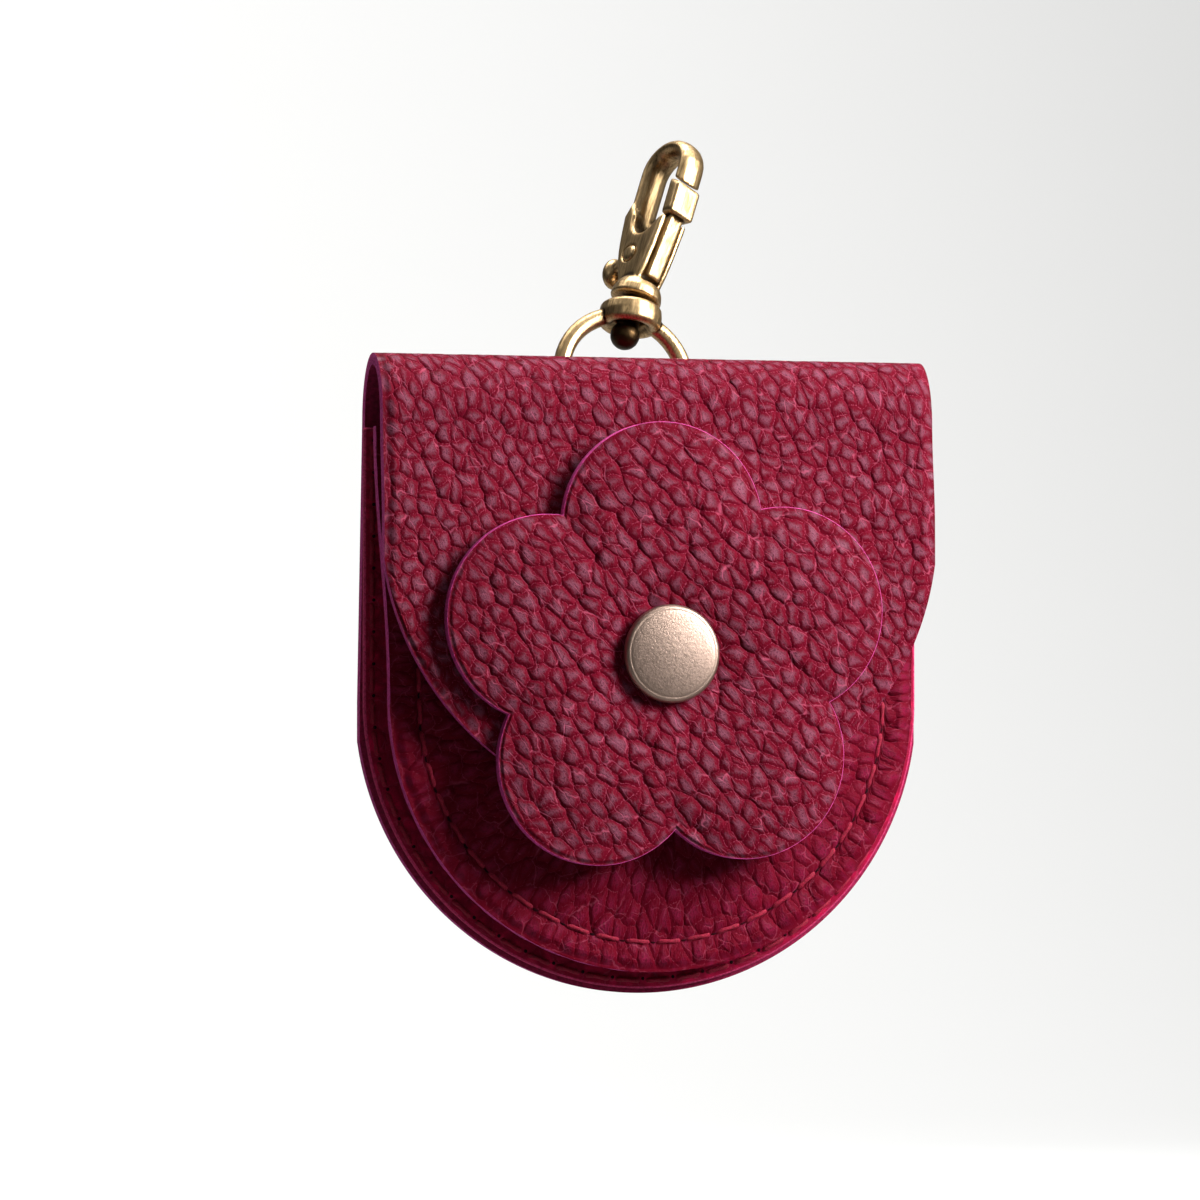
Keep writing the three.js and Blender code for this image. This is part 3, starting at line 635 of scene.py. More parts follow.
@made_once("node_groups")
def aged_metal(name):
    """Shader group: rubbed and finely brushed metal, darkened from a mask of its hollows as patina
    on the hook and painted shade on the snap's cap.
    """
    sockets = {"Vector": "Vector", "Hollow": "Float"}, {"Patina": "Float", "Height": "Float"}
    tree, start, end = group_tree(name, "ShaderNodeTree", *sockets)
    vector = start.outputs["Vector"]
    broken = noise(tree, vector, scale=1100, detail=4, roughness=0.65)["Fac"]
    hollow = scaled_sum(tree, start.outputs["Hollow"], (broken, 0.5))
    patina_and_shade_range = 0.64, 0.95
    height = noise(tree, vector, scale=3200, detail=4, roughness=0.65)["Fac"]
    feed(tree, end, {"Patina": smooth_range(tree, hollow, *patina_and_shade_range), "Height": height})
    return tree


def new_material(name):
    material = bpy.data.materials.new(name)
    material.use_nodes = True
    tree = material.node_tree
    return material, tree, tree.nodes["Principled BSDF"]


def bump(tree, height, distance):
    inputs = {"Height": height, "Distance": distance, "Strength": 1.0}
    return add_node(tree, "ShaderNodeBump", inputs).outputs[0]


def object_place(tree):
    return tree.nodes.new("ShaderNodeTexCoord").outputs["Object"]


def attribute(tree, name, output):
    return add_node(tree, "ShaderNodeAttribute", {}, attribute_name=name).outputs[output]


def placed_group(tree, group, inputs):
    return add_node(tree, "ShaderNodeGroup", inputs, node_tree=group).outputs


# Finishes

def shade(tone, share_left):
    return [share_left * value for value in tone]


@made_once("materials")
def grain_leather(name, tops, valley, pores, lines):
    """Pebbled leather, with the strength of the pores in its tops and of its pale creases."""
    colours = bpy.context.scene.pouch_colours
    material, tree, shader = new_material(name)
    group = pebble_grain("pebble grain")
    grain = placed_group(tree, group, {"Vector": attribute(tree, "grain", "Vector")})
    # The tops colour carries painted sheen: much in the pebbled leather, little in the sheltered
    # leather.
    tone = mixed(tree, times(tree, grain["Speckle"], pores), tops, colours.pore)
    tone = mixed(tree, grain["Valley"], tone, valley)
    # The pale creases are partly real paler leather and partly painted highlight.
    tone = mixed(tree, times(tree, grain["Crease"], lines), tone, colours.crease)
    dull_pores = times(tree, grain["Speckle"], 0.6)
    dull = maths(tree, "MAXIMUM", grain["Valley"], dull_pores)
    top_roughness, valley_roughness = 0.2, 0.7
    height = times(tree, grain["Height"], attribute(tree, "relief", "Fac"))
    inputs = {
        "Base Color": tone,
        "Roughness": smooth_range(tree, dull, 0, 1, top_roughness, valley_roughness),
        "Specular IOR Level": 0.05,
        "Normal": bump(tree, height, bpy.context.scene.grain_sizes.bump),
    }
    feed(tree, shader, inputs)
    return material


@made_once("materials")
def fibrous(name, tones, weave, spread, roughness, gloss, rise):
    """Fibres between two colours: noise of a scale, detail and roughness, and its range."""
    material, tree, shader = new_material(name)
    fibres = noise(tree, object_place(tree), *weave)["Fac"]
    inputs = {
        "Base Color": mixed(tree, smooth_range(tree, fibres, *spread), *tones),
        "Roughness": roughness,
        "Specular IOR Level": gloss,
    }
    if rise:
        inputs["Normal"] = bump(tree, fibres, rise)
    feed(tree, shader, inputs)
    return material


def fibrous_finish(name):
    c = bpy.context.scene.pouch_colours

    def shaded(tone, share_left):
        return shade(tone, share_left), tone

    edge = (2200, 4, 0.65), (0.3, 0.65), 0.9, 0.2, 0.25 * MM
    # Dark and light tone, weave, spread, roughness, gloss and height of the fibres.
    table = {
        "raw edge": (shaded(c.raw_edge, 0.45), *edge),
        "burnished edge": (shaded(c.burnished, 0.45), *edge),
        "flesh side": (shaded(c.flesh, 0.5), (1500, 5, 0.65), (0.3, 0.7), 0.92, 0.15, 0.2 * MM),
        "sewing thread": (shaded(c.thread, 0.55), (3500, 3, 0.6), (0.3, 0.65), 0.7, 0.2, 0.12 * MM),
        # The stitch hole's near-black tones are painted shade in the needle holes.
        "stitch hole": ((c.hole, c.pore), (4000, 3, 0.6), (0.45, 0.75), 0.95, 0.1, 0),
    }
    return fibrous(name, *table[name])


def leather(name):
    """Grain side, cut edge and flesh side of a leather."""
    c = bpy.context.scene.pouch_colours
    # Colours of the tops and valleys, strength of the pores and pale creases, and the edge.
    table = {
        # The pebbled leather's tops carry painted sheen, and the sheltered leather's tops carry
        # much less.
        "pebbled leather": (c.pebble, c.valley, 0.7, 0.6, "raw edge"),
        "sheltered leather": (c.sheltered, c.valley, 0.6, 0.3, "raw edge"),
        "inner leather": (c.inner, shade(c.inner, 0.5), 0.3, 0.3, "burnished edge"),
    }
    *grain, edge = table[name]
    return grain_leather(name, *grain), fibrous_finish(edge), fibrous_finish("flesh side")


@made_once("materials")
def brass(name, tone, patina, roughness, rise, bright=None):
    """Metal darkened in its hollows: patina on the hook, painted shade on the snap's cap. With a
    bright tone too, it is brushed along the hook.
    """
    material, tree, shader = new_material(name)
    vector = object_place(tree)
    if bright:
        stretch = 9
        turn = swivel_axis().to_track_quat("Z", "X").to_euler()
        inputs = {"Vector": vector, "Rotation": turn, "Scale": (1, 1, stretch)}
        vector = add_node(tree, "ShaderNodeMapping", inputs, vector_type="TEXTURE").outputs[0]
    inputs = {"Vector": vector, "Hollow": attribute(tree, "hollow", "Fac")}
    metal = placed_group(tree, aged_metal("aged metal"), inputs)
    scratch_range, brush_range = (0.3, 0.6), (0.2, 0.8)
    if bright:
        tone = mixed(tree, smooth_range(tree, metal["Height"], *scratch_range), tone, bright)
    inputs = {
        "Base Color": mixed(tree, metal["Patina"], tone, patina),
        "Roughness": smooth_range(tree, metal["Height"], *brush_range, *roughness),
        "Metallic": 1,
        "Normal": bump(tree, metal["Height"], rise),
    }
    feed(tree, shader, inputs)
    return material


def cap_brass():
    cap = bpy.context.scene.pouch_colours.cap
    settings = {"roughness": (0.36, 0.5), "rise": 0.05 * MM}
    # The cap's hollows take a darker copy of its tone, as painted shade.
    return brass("satin brass", cap, shade(cap, 0.3), **settings)


def aged_brass():
    c = bpy.context.scene.pouch_colours
    settings = {"roughness": (0.44, 0.3), "rise": 0.04 * MM, "bright": c.brass}
    return brass("aged brass", c.dull_brass, c.patina, **settings)


# Pieces

def sizes(context):
    scene = context.scene
    return scene.pouch_sizes, scene.flower_sizes, scene.grain_sizes


class POUCH_OT_back_flap(bpy.types.Operator):
    """Back panel, rounded fold and flap in one piece of leather"""

    bl_idname = "pouch.back_flap"
    bl_label = "Back and flap"

    def execute(self, context):
        s, f, g = sizes(context)
        radius, centre = end_radius(s), body_centre(s)
        fold_half, rise = (s.fold_depth - s.leather) / 2, s.fold_height - s.leather / 2
        fold_length = math.pi * math.sqrt((fold_half**2 + rise**2) / 2)
        # Where along the sheet the back's round end, its straight part, the fold and the
        # flap's straight part end.
        marks = (0.14, 0.24, 0.38, 0.5)
        end_length, full_relief = 40 * MM, 0.6
        pattern = {"cell": 0.88 * g.cell, "stretch": 1.25, "turn": math.radians(60)}

        def shape(u, v):
            w = 2 * u - 1
            turn = 0.5 * (s.edge_turn * w + np.arcsin(w * math.sin(s.edge_turn)))
            back_x, reach = radius * np.sin(turn), radius * np.cos(turn)
            flap_x = back_x * s.flap_width / s.width
            t = stages(v, marks)
            fold = math.pi * t[2]
            z = centre - reach * (1 - t[0]) + (-s.fold_height - centre) * t[1]
            z = z + rise * np.sin(fold)
            z = z - (s.flap_drop - s.fold_height) * t[3] - reach * t[4]
            x = mix(back_x, flap_x, t[1])
            y = -s.fold_depth / 2 + fold_half * np.cos(fold)
            y = np.where(v > marks[2], flap_y(s, f, x, z), y)
            along = s.fold_height + fold_length * (t[2] - 1)
            along = along + np.where(v < marks[1], z + s.fold_height, 0)
            along = np.where(v > marks[2], -z, along)
            edge = np.minimum(s.width / 2 - np.abs(back_x), (1 - v) * end_length)
            return (x, y, z), grain_at(x, along, **pattern), full_relief * ramp(edge, *EDGE_RAMP)

        piece = bent_sheet("back_flap_leather", 170, 250, shape, bpy.ops.mesh.flip_normals)
        make_leather(piece, s.leather, leather("pebbled leather"), g.relief)
        hand_over(piece, "pouch", ["back_flap"])
        return {"FINISHED"}


class POUCH_OT_front_panel(bpy.types.Operator):
    """Front of the pocket, swelling forward inside its seam margin"""

    bl_idname = "pouch.front_panel"
    bl_label = "Front panel"

    def execute(self, context):
        s, _, g = sizes(context)
        centre = body_centre(s)
        full_turn, full_relief = math.radians(88), 0.65
        # The pebbles are counted along a U inside the panel. They are narrower in the margin.
        inner_radius = s.front_radius - 12 * MM
        pebble_width, pebble_length, margin_width = 0.85 * g.cell, 1.7 * g.cell, 0.8
        margin_end = s.seam_inset - 1 * MM, s.seam_inset + 1 * MM

        def shape(u, v):
            turn = full_turn * (2 * u - 1)
            low = centre - s.front_radius * np.cos(turn) * (1 - np.clip(2 * v, 0, 1))
            z = low + (-s.front_drop - centre) * np.clip(2 * v - 1, 0, 1)
            x = np.sin(turn) * front_half_width(s, z)
            inset = front_inset(s, x, z)
            round_way = np.arctan2(x, centre - z) * inner_radius
            side_way = np.sign(x) * (z - centre + math.pi / 2 * inner_radius)
            along = np.where(z < centre, round_way, side_way)
            wide = mix(margin_width, 1, ramp(inset, *margin_end))
            grain = along / (pebble_width * wide), inset / pebble_length
            return (x, front_y(s, x, z), z), grain, full_relief * ramp(inset, *EDGE_RAMP)

        piece = bent_sheet("front_panel_leather", 200, 170, shape)
        make_leather(piece, s.leather, leather("sheltered leather"), g.relief)
        hand_over(piece, "pouch", ["front_panel"])
        return {"FINISHED"}


class POUCH_OT_gusset(bpy.types.Operator):
    """Strip with a channel section round the pocket, its flanges sewn to front and back"""

    bl_idname = "pouch.gusset"
    bl_label = "Gusset"

    def execute(self, context):
        s, _, g = sizes(context)
        centre = body_centre(s)
        straight = -s.front_drop - centre
        back_y = -s.leather - s.gap - s.gusset_leather / 2
        # Where along the strip the straight sides end, and across it the flanges.
        side_share, flange_share = 0.25, 0.3
        strip_width, edge_width, edge_ramp, full_relief = 18 * MM, 25 * MM, (0, 2 * MM), 0.4

        def shape(u, v):
            left, right = part(u, 0, side_share), part(u, 1 - side_share, 1)
            turn = math.pi * part(u, side_share, 1 - side_share)
            level = -s.front_drop - straight * left + straight * right
            front_reach, back_reach = front_half_width(s, level) - s.gap, s.width / 2 - s.gap
            front_t, web_t, back_t = stages(v, (flange_share, 1 - flange_share))
            bowed = s.flange_start - s.web_bow * np.sin(math.pi * web_t)
            reach = mix(mix(front_reach, bowed, front_t), back_reach, back_t)
            x = -reach * np.cos(turn)
            z = np.where((turn > 0) & (turn < math.pi), centre - reach * np.sin(turn), level)
            front_flange = -body_depth(s, np.maximum(z, centre)) + s.gap + s.gusset_leather / 2
            y = mix(front_flange, back_y, (1 - np.cos(math.pi * web_t)) / 2)
            along = u * (2 * straight + math.pi * s.front_radius)
            grain = grain_at(along, v * strip_width, g.cell, stretch=1.2, turn=0)
            edge = np.minimum(v, 1 - v) * edge_width
            return (x, y, z), grain, full_relief * ramp(edge, *edge_ramp)

        piece = bent_sheet("gusset_leather", 300, 40, shape, bpy.ops.mesh.flip_normals)
        make_leather(piece, s.gusset_leather, leather("inner leather"), 0.5 * g.relief)
        hand_over(piece, "pouch", ["gusset"])
        return {"FINISHED"}


class POUCH_OT_flower(bpy.types.Operator):
    """Five-petal leather piece, pressed in at the snap"""

    bl_idname = "pouch.flower"
    bl_label = "Flower"

    def execute(self, context):
        s, f, g = sizes(context)
        hole = f.post_radius + s.gap
        full_relief, rim_relief = 0.85, 0.45
        cap_ramp = f.cap_radius - 2 * MM, f.cap_radius + 3 * MM
        rim_ramp, edge_ramp = (1 * MM, 6 * MM), (0.2 * MM, 1 * MM)
        pattern = {"cell": 0.95 * g.cell, "stretch": 1.45, "turn": math.radians(-48)}

        def shape(u, v):
            turn = f.turn + math.pi / PETALS + 2 * math.pi * u
            reach = petal_reach(f, turn)
            out = mix(hole, reach, np.sqrt(v))
            x, z = out * np.cos(turn), -f.snap_drop + out * np.sin(turn)
            relief = full_relief * ramp(out, *cap_ramp)
            relief = relief * mix(rim_relief, 1, ramp(reach - out, *rim_ramp))
            relief = relief * ramp(reach - out, *edge_ramp)
            return (x, flower_y(s, f, x, z), z), grain_at(x, z, **pattern), relief

        steps = merge_doubles, bpy.ops.mesh.flip_normals
        piece = bent_sheet("flower_leather", 300, 84, shape, *steps)
        make_leather(piece, s.leather, leather("pebbled leather"), g.relief)
        hand_over(piece, "pouch", ["flower"])
        return {"FINISHED"}


def paint_ball_shade(mesh):
    """The ball head under the boss takes the dark patina tone all over, as painted shade of the
    hollow it sits in.
    """
    place, axis = np.array(swivel()["pos_m"]), np.array(swivel_axis())
    dark_end, bright_start = -3.5 * MM, -1 * MM
    low = 1 - ramp((places_of(mesh) - place) @ axis, dark_end, bright_start)
    hollow = np.empty(len(mesh.vertices), dtype=np.float32)
    data = mesh.attributes["hollow"].data
    data.foreach_get("value", hollow)
    data.foreach_set("value", np.maximum(hollow, low).astype(np.float32))


class POUCH_OT_metalwork(bpy.types.Operator):
    """Cast hook, gate, rivet and eye"""

    bl_idname = "pouch.metalwork"
    bl_label = "Hook and eye"

    def execute(self, context):
        # Solid, its body and how many passes soften it.
        castings = (
            ("hook_body", "hook", 14),
            ("hook_gate", "gate", 40),
            ("gate_pin", "hook", 14),
            ("swivel_eye", "eye", 14),
        )
        for node, body, passes in castings:
            piece = cast_copy(node, node + "_cast", voxel=0.14 * MM, passes=passes)
            # The ball under the boss is painted dark, as painted shade.
            if node == "hook_body":
                paint_ball_shade(piece.data)
            piece.data.materials.append(aged_brass())
            hand_over(piece, body, [node])
        return {"FINISHED"}


def turned(name, profile, height):
    """A profile of radius and depth turned about an axis along Y."""
    deselect()
    mesh = bpy.data.meshes.new(name)
    steps = [(i, i + 1) for i in range(len(profile) - 1)]
    mesh.from_pydata([(r, y, 0) for r, y in profile], steps, [])
    piece = linked(name, mesh)
    joined = {"use_merge_vertices": True, "merge_threshold": 1e-6}
    apply_modifier(piece, "SCREW", axis="Y", steps=96, render_steps=96, **joined)
    edit(piece, merge_doubles, face_outwards)
    apply_modifier(piece, "BEVEL", width=0.12 * MM, segments=2, limit_method="ANGLE")
    piece.data.transform(Matrix.Translation(POUCH + Vector((0, 0, height))))
    activate(piece)
    bpy.ops.object.shade_smooth_by_angle(angle=math.radians(40))
    return piece


class POUCH_OT_snap(bpy.types.Operator):
    """Turned satin cap with its socket, and the hidden stud"""

    bl_idname = "pouch.snap"
    bl_label = "Snap"

    def execute(self, context):
        s, f, _ = sizes(context)
        back = flower_seat(s, f) - s.leather / 2 - s.gap
        front = back - f.cap_height
        socket_front = float(flap_y(s, f, 0.0, -f.snap_drop)) + s.leather / 2 + s.gap
        socket_back = socket_front + f.socket_height
        hole, past_socket = f.stud_radius + s.gap, 0.2 * MM
        depth = socket_front - past_socket
        crown, face_share, face_steps = 0.68 * MM, 0.82, 7
        back_lip, corner = 0.3 * MM, 0.4 * MM
        # Rim in mm: radius short of the cap's, and depth behind the middle of its face.
        rim = (
            (1.0, 0.53),
            (0.85, 0.6),
            (0.7, 0.58),
            (0.45, 0.66),
            (0.22, 0.9),
            (0.06, 1.25),
            (0, 1.7),
        )
        out = np.linspace(0, face_share, face_steps)
        face = [(r * f.cap_radius, front + crown * r**2) for r in out]
        edge = [(f.cap_radius - short * MM, front + deep * MM) for short, deep in rim]
        socket = [
            (f.cap_radius - back_lip, back),
            (f.post_radius, back),
            (f.post_radius, socket_front),
            (f.socket_radius, socket_front),
            (f.socket_radius, socket_back - corner),
            (f.socket_radius - corner, socket_back),
            (hole, socket_back),
            (hole, depth),
            (0, depth),
        ]
        cap = turned("snap_cap_brass", face + edge + socket, -f.snap_drop)
        # The cap's hollows are measured here for the painted shade in its finish.
        store_hollows(cap.data, passes=6, depth=0.5 * MM)
        stud = cast_copy("snap_stud", "snap_stud_brass", voxel=0.16 * MM, passes=6)
        for piece, node in ((cap, "snap_cap"), (stud, "snap_stud")):
            piece.data.materials.append(cap_brass())
            hand_over(piece, "pouch", [node])
        return {"FINISHED"}


class POUCH_OT_hang_tab(bpy.types.Operator):
    """Leather strip folded round the eye's bar and sewn to the back"""

    bl_idname = "pouch.hang_tab"
    bl_label = "Hanging tab"

    def execute(self, context):
        s, _, g = sizes(context)
        loop = s.slot_radius + s.tab_leather / 2
        bar_y = s.gap + s.tab_leather + s.slot_radius
        bar_z, arc = -s.bar_drop, s.slot_half_height - s.slot_radius
        foot = bar_z - s.tab_length
        inner_y, outer_y = s.gap + 0.5 * s.tab_leather, s.gap + 1.5 * s.tab_leather
        half = s.tab_width / 2
        join_z = bar_z - 10 * MM
        # Where along the strip its inner leg, loop and slanting part end.
        marks = (0.36, 0.52, 0.7)
        roundness, blunt = 0.9, 0.02
        grain_length, edge_length, full_relief = 70 * MM, 60 * MM, 0.4
        # The two layers of the strip keep this much apart.
        slack = 0.06 * MM

        def shape(u, v):
            across = (2 * u - 1) * half
            drop = np.sqrt(np.clip(1 - (across / half) ** 2, blunt, 1))
            end = foot + roundness * half * (1 - drop)
            t = stages(v, marks)
            over = math.pi * t[1]
            y = mix(inner_y, bar_y - loop * np.cos(over), v > marks[0])
            y = np.where(v > marks[1], mix(bar_y + loop, outer_y, ramp(t[2], 0, 1)), y)
            z = mix(end, bar_z + arc, t[0]) + loop * np.sin(over)
            z = z + (join_z - bar_z - arc) * t[2] + (end - join_z) * t[3]
            grain = grain_at(across, v * grain_length, g.cell, stretch=1.1, turn=0)
            edge = np.minimum(half - np.abs(across), np.minimum(v, 1 - v) * edge_length)
            return (s.bar_x + across, y, z), grain, full_relief * ramp(edge, *EDGE_RAMP)

        piece = bent_sheet("hang_tab_leather", 40, 160, shape)
        make_leather(piece, s.tab_leather - slack, leather("inner leather"), 0.5 * g.relief)
        hand_over(piece, "pouch", ["hang_tab"])
        return {"FINISHED"}


def seam_line(s, radius, half_width, top):
    """A U-shaped line from its left top round the bottom to its right top."""
    centre = body_centre(s)
    turn = np.linspace(-math.pi / 2, math.pi / 2, 400)
    side = np.linspace(centre, top, 200)[1:]
    x = np.concatenate([-half_width(side[::-1]), radius * np.sin(turn), half_width(side)])
    z = np.concatenate([side[::-1], centre - radius * np.cos(turn), side])
    return x, z


def seam_stops(line, pitch):
    """Stitch holes evenly along a line."""
    x, z = line
    run = np.concatenate([[0], np.cumsum(np.hypot(np.diff(x), np.diff(z)))])
    at = np.linspace(0, run[-1], round(run[-1] / pitch) + 1)
    return np.interp(at, run, x), np.interp(at, run, z)


def stitch_rings(thread, start, end, facing):
    """A two-ply thread that rises out of one hole and sinks into the next."""
    rings, sides = 11, 8
    ply, twist, lift, sink, reach = 0.16, 5, 0.25, 2.6, 0.9
    t = np.linspace(-1, 1, rings)[:, None]
    turn = np.linspace(0, 2 * math.pi, sides, endpoint=False)[None, :]
    thick = thread / 2 * np.sqrt(1 - t**6) * (1 + ply * np.cos(2 * turn - twist * t))
    along = (end - start) / 2
    side = np.cross(along / np.linalg.norm(along), (0, facing, 0))
    out = thick * np.cos(turn) + lift * thread * (1 - sink * t**4)
    points = (start + end) / 2 + reach * t[:, :, None] * along
    points = points + (thick * np.sin(turn))[:, :, None] * side
    return points + out[:, :, None] * np.array((0, facing, 0))


def hole_rings(size, stop, facing):
    """A dimple where the needle went in, finished near black as painted shade of the hole."""
    sides = 10
    # A row for each ring: share of the hole's size, and rise above the leather in mm.
    reach, rise = np.array(((0, -0.3), (1, -0.1), (0.65, 0.12), (0, 0.13))).T[:, :, None]
    turn = np.linspace(0, 2 * math.pi, sides, endpoint=False)[None, :]
    reach, rise = reach * size, rise * MM + 0 * turn
    return np.stack([reach * np.cos(turn), facing * rise, reach * np.sin(turn)], 2) + stop


def add_rings(places, faces, kinds, rings, kind):
    """Adds rings of points, joined by faces of a kind."""
    first = sum(len(block) for block in places)
    count, sides, _ = rings.shape
    for low in range(first, first + (count - 1) * sides, sides):
        for side in range(sides):
            after = (side + 1) % sides
            high = low + sides
            faces.append((low + side, low + after, high + after, high + side))
            kinds.append(kind)
    places.append(rings.reshape(-1, 3))


def sew(s, name, lines, surface, facing, hole_size):
    """Stitches along lines of a surface y(x, z) that faces along Y."""
    centre = body_centre(s)
    hole_shift = 0.4 * s.thread
    places, faces, kinds = [], [], []
    for line in lines:
        x, z = seam_stops(line, s.pitch)
        stops = np.stack([x, surface(x, z), z], 1)
        for start, end in zip(stops[:-1], stops[1:]):
            add_rings(places, faces, kinds, stitch_rings(s.thread, start, end, facing), 0)
        inward = np.stack([-x, 0 * x, np.maximum(centre - z, 0)], 1)
        inward = inward / np.linalg.norm(inward, axis=1)[:, None]
        for stop in stops + hole_shift * inward:
            add_rings(places, faces, kinds, hole_rings(hole_size * s.thread, stop, facing), 1)
    mesh = bpy.data.meshes.new(name)
    mesh.from_pydata(np.concatenate(places) + np.array(POUCH), [], faces)
    for finish in ("sewing thread", "stitch hole"):
        mesh.materials.append(fibrous_finish(finish))
    mesh.polygons.foreach_set("material_index", kinds)
    piece = linked(name, mesh)
    edit(piece, merge_doubles, face_outwards)
    bpy.ops.object.shade_smooth()
    hand_over(piece, "pouch")


class POUCH_OT_stitches(bpy.types.Operator):
    """Threads and holes of the seams on the front, gusset, back and tab"""

    bl_idname = "pouch.stitches"
    bl_label = "Stitches"

    def execute(self, context):
        s = context.scene.pouch_sizes
        flange_inset, tab_inset, tab_foot, tab_top = 1.5 * MM, 1.8 * MM, 4 * MM, 11 * MM

        def front_half(z):
            return front_half_width(s, z) - s.seam_inset

        def front_face(x, z):
            return front_y(s, x, z) - s.leather / 2

        def straight(half):
            return seam_line(s, half, lambda z: half + 0 * z, seam_top(s))

        def flat(y):
            return lambda x, z: y + 0 * z

        front = seam_line(s, s.front_radius - s.seam_inset, front_half, seam_top(s))
        flange = straight(s.width / 2 - flange_inset)
        back = straight(s.width / 2 - s.seam_inset)
        tab_z = np.array([-s.bar_drop - s.tab_length + tab_foot, -s.bar_drop - tab_top])
        tab_half = s.tab_width / 2 - tab_inset
        tab = [(np.full(2, s.bar_x + way * tab_half), tab_z) for way in (-1, 1)]
        flange_y = -s.leather - s.gap - s.gusset_leather
        # Name, lines, surface, the way along Y that it faces, and size of the holes in threads.
        seams = (
            ("front_seam_thread", [front], front_face, -1, 1.0),
            ("gusset_seam_thread", [flange], flat(flange_y), -1, 0.45),
            ("back_seam_thread", [back], flat(0), 1, 0.8),
            ("tab_seam_thread", tab, flat(s.gap + 2 * s.tab_leather), 1, 0.8),
        )
        for seam in seams:
            sew(s, *seam)
        return {"FINISHED"}


def add_backdrop(context):
    size, wall_height, corner = 6, 4, 0.8
    floor_z = cad_box[0][2] - 60 * MM
    deselect()
    bpy.ops.mesh.primitive_plane_add(size=size, location=(0, -size / 4, floor_z))
    floor = name_piece(context.object, "backdrop")
    bpy.ops.object.transform_apply(location=True)
    for vertex in floor.data.vertices:
        vertex.select = vertex.co.y > 0
    for edge in floor.data.edges:
        edge.select = all(floor.data.vertices[i].select for i in edge.vertices)
    for face in floor.data.polygons:
        face.select = False
    bpy.ops.object.mode_set(mode="EDIT")
    bpy.ops.mesh.select_mode(type="EDGE")
    bpy.ops.mesh.extrude_region_move(TRANSFORM_OT_translate={"value": (0, 0, wall_height)})
    bpy.ops.object.mode_set(mode="OBJECT")
    apply_modifier(floor, "BEVEL", width=corner, segments=16, limit_method="ANGLE")
    bpy.ops.object.shade_smooth()
    # The backdrop throws less light back than it shows, as black cards beside a set would do.
    colours = context.scene.pouch_colours
    material, tree, shader = new_material("pale backdrop")
    seen = tree.nodes.new("ShaderNodeLightPath").outputs["Is Camera Ray"]
    tone = mixed(tree, seen, colours.bounce, colours.backdrop)
    feed(tree, shader, {"Base Color": tone, "Roughness": 0.9})
    floor.data.materials.append(material)


def add_camera(context, aim):
    view = context.scene.view_sizes
    flat = math.cos(view.elevation)
    across, ahead = math.sin(view.azimuth) * flat, math.cos(view.azimuth) * flat
    away = Vector((across, -ahead, math.sin(view.elevation)))
    data = bpy.data.cameras.new("camera")
    data.lens = data.sensor_width * view.distance / view.frame_width
    camera = linked("camera", data)
    camera.location = aim + away * view.distance
    camera.rotation_euler = (-away).to_track_quat("-Z", "Y").to_euler()
    context.scene.camera = camera


def add_light(context, name, target, offset, size, power, spread):
    offset = Vector(offset)
    deselect()
    bpy.ops.object.light_add(type="AREA", location=target + offset)
    lamp = context.object
    lamp.name = name
    lamp.data.size = size
    lamp.data.energy = power
    lamp.data.spread = spread
    lamp.rotation_euler = (-offset).to_track_quat("-Z", "Y").to_euler()


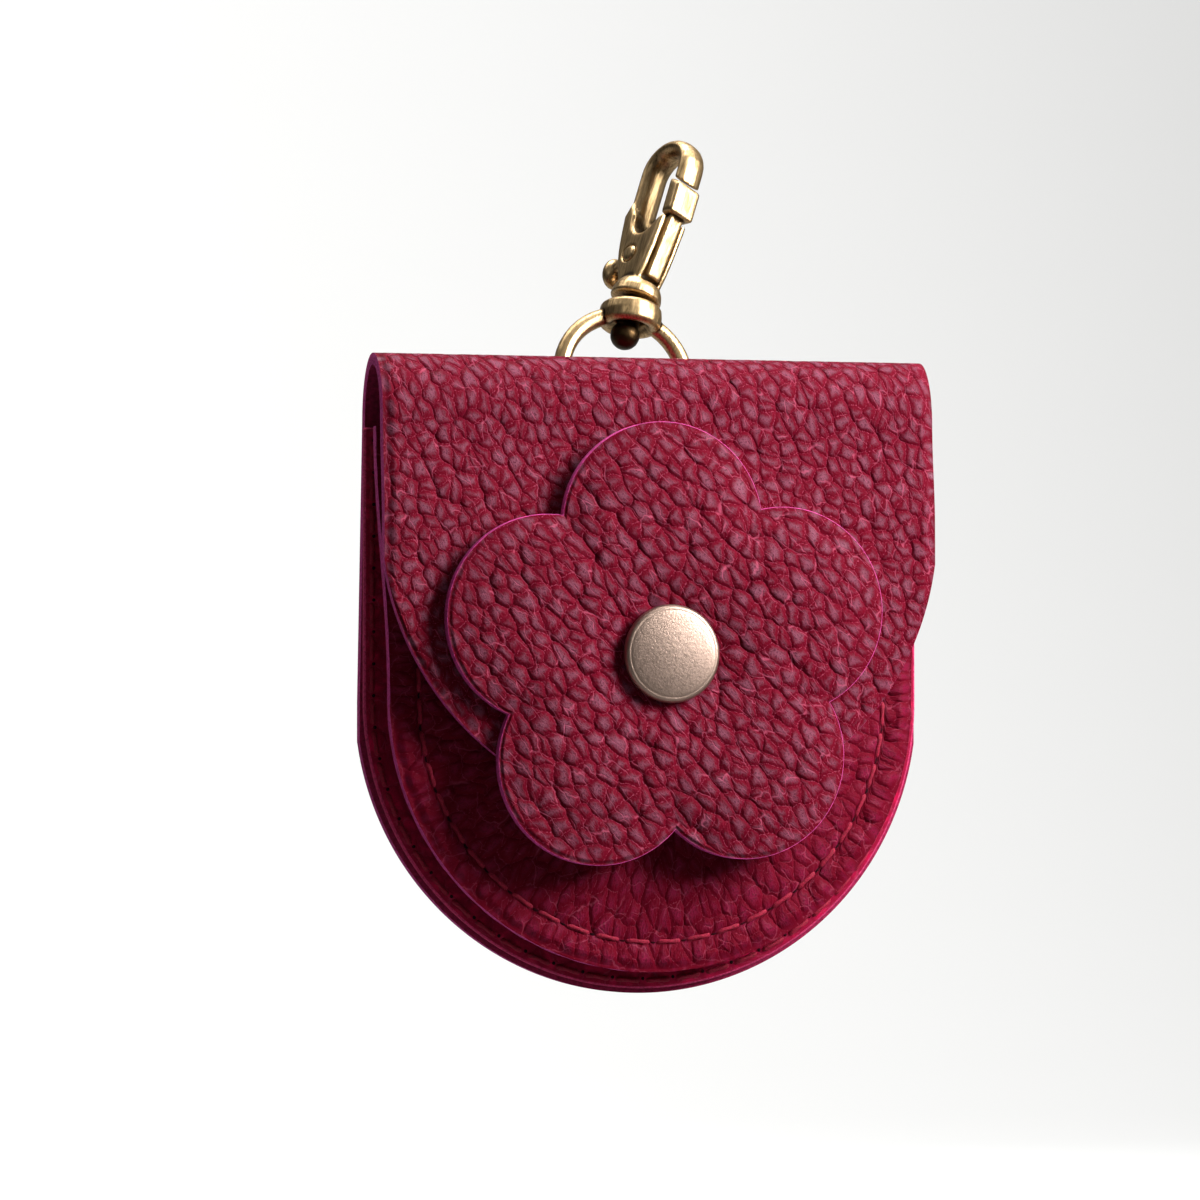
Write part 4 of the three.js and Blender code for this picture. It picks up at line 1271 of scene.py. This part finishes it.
class POUCH_OT_stage(bpy.types.Operator):
    """Pale floor and wall, soft lights and the camera"""

    bl_idname = "pouch.stage"
    bl_label = "Stage"

    def execute(self, context):
        add_backdrop(context)
        # What the camera and the lights point at, and the middle of the lit wall.
        aim = POUCH + Vector((-7.65, -6.34, -37.28)) * MM
        wall = Vector((0, 1.5, -0.1))
        add_camera(context, aim)
        narrow = context.scene.view_sizes.light_spread
        # Name, target, place from there, size, power and spread.
        lights = (
            ("key light", aim, (0.6, -0.42, 0.7), 0.3, 0.95, narrow),
            ("sheen light", aim, (0.3, -0.26, 0.17), 0.2, 0.6, narrow),
            ("top light", aim, (0.1, 0.1, 1.1), 0.6, 1.35, narrow),
            ("left fill", aim, (-1.1, -0.8, 0.1), 0.9, 0.03, narrow),
            ("high fill", aim, (-0.45, -0.85, 0.55), 0.3, 0.05, narrow),
            ("low fill", aim, (-0.1, -1.0, -0.4), 0.5, 0.05, narrow),
            ("wall light", wall, (0, -1.1, 0.9), 1, 20, math.pi),
        )
        for light in lights:
            add_light(context, *light)
        world = bpy.data.worlds.new("studio")
        world.use_nodes = True
        sky = {"Color": (0.9, 0.92, 0.95), "Strength": 0.03}
        feed(world.node_tree, world.node_tree.nodes["Background"], sky)
        context.scene.world = world
        context.scene.view_settings.view_transform = "Standard"
        return {"FINISHED"}


OPERATORS = (
    POUCH_OT_back_flap,
    POUCH_OT_front_panel,
    POUCH_OT_gusset,
    POUCH_OT_flower,
    POUCH_OT_snap,
    POUCH_OT_hang_tab,
    POUCH_OT_metalwork,
    POUCH_OT_stitches,
    POUCH_OT_stage,
)

GROUPS = {
    "pouch_sizes": PouchSizes,
    "flower_sizes": FlowerSizes,
    "grain_sizes": GrainSizes,
    "pouch_colours": PouchColours,
    "view_sizes": ViewSizes,
}


class VIEW3D_PT_pouch(bpy.types.Panel):
    bl_label = "Leather flap pouch"
    bl_space_type = "VIEW_3D"
    bl_region_type = "UI"
    bl_category = "Pouch"

    def draw(self, context):
        for operator in OPERATORS:
            self.layout.operator(operator.bl_idname)
        for key, group in GROUPS.items():
            box = self.layout.box()
            for name in group.__annotations__:
                box.prop(getattr(context.scene, key), name)


def register():
    for kind in (*GROUPS.values(), *OPERATORS, VIEW3D_PT_pouch):
        bpy.utils.register_class(kind)
    for key, group in GROUPS.items():
        setattr(bpy.types.Scene, key, PointerProperty(type=group))


def unregister():
    for key in GROUPS:
        delattr(bpy.types.Scene, key)
    for kind in (VIEW3D_PT_pouch, *OPERATORS, *GROUPS.values()):
        bpy.utils.unregister_class(kind)


def main():
    register()
    for operator in OPERATORS:
        area, step = operator.bl_idname.split(".")
        getattr(getattr(bpy.ops, area), step)()


if __name__ == "__main__":
    main()
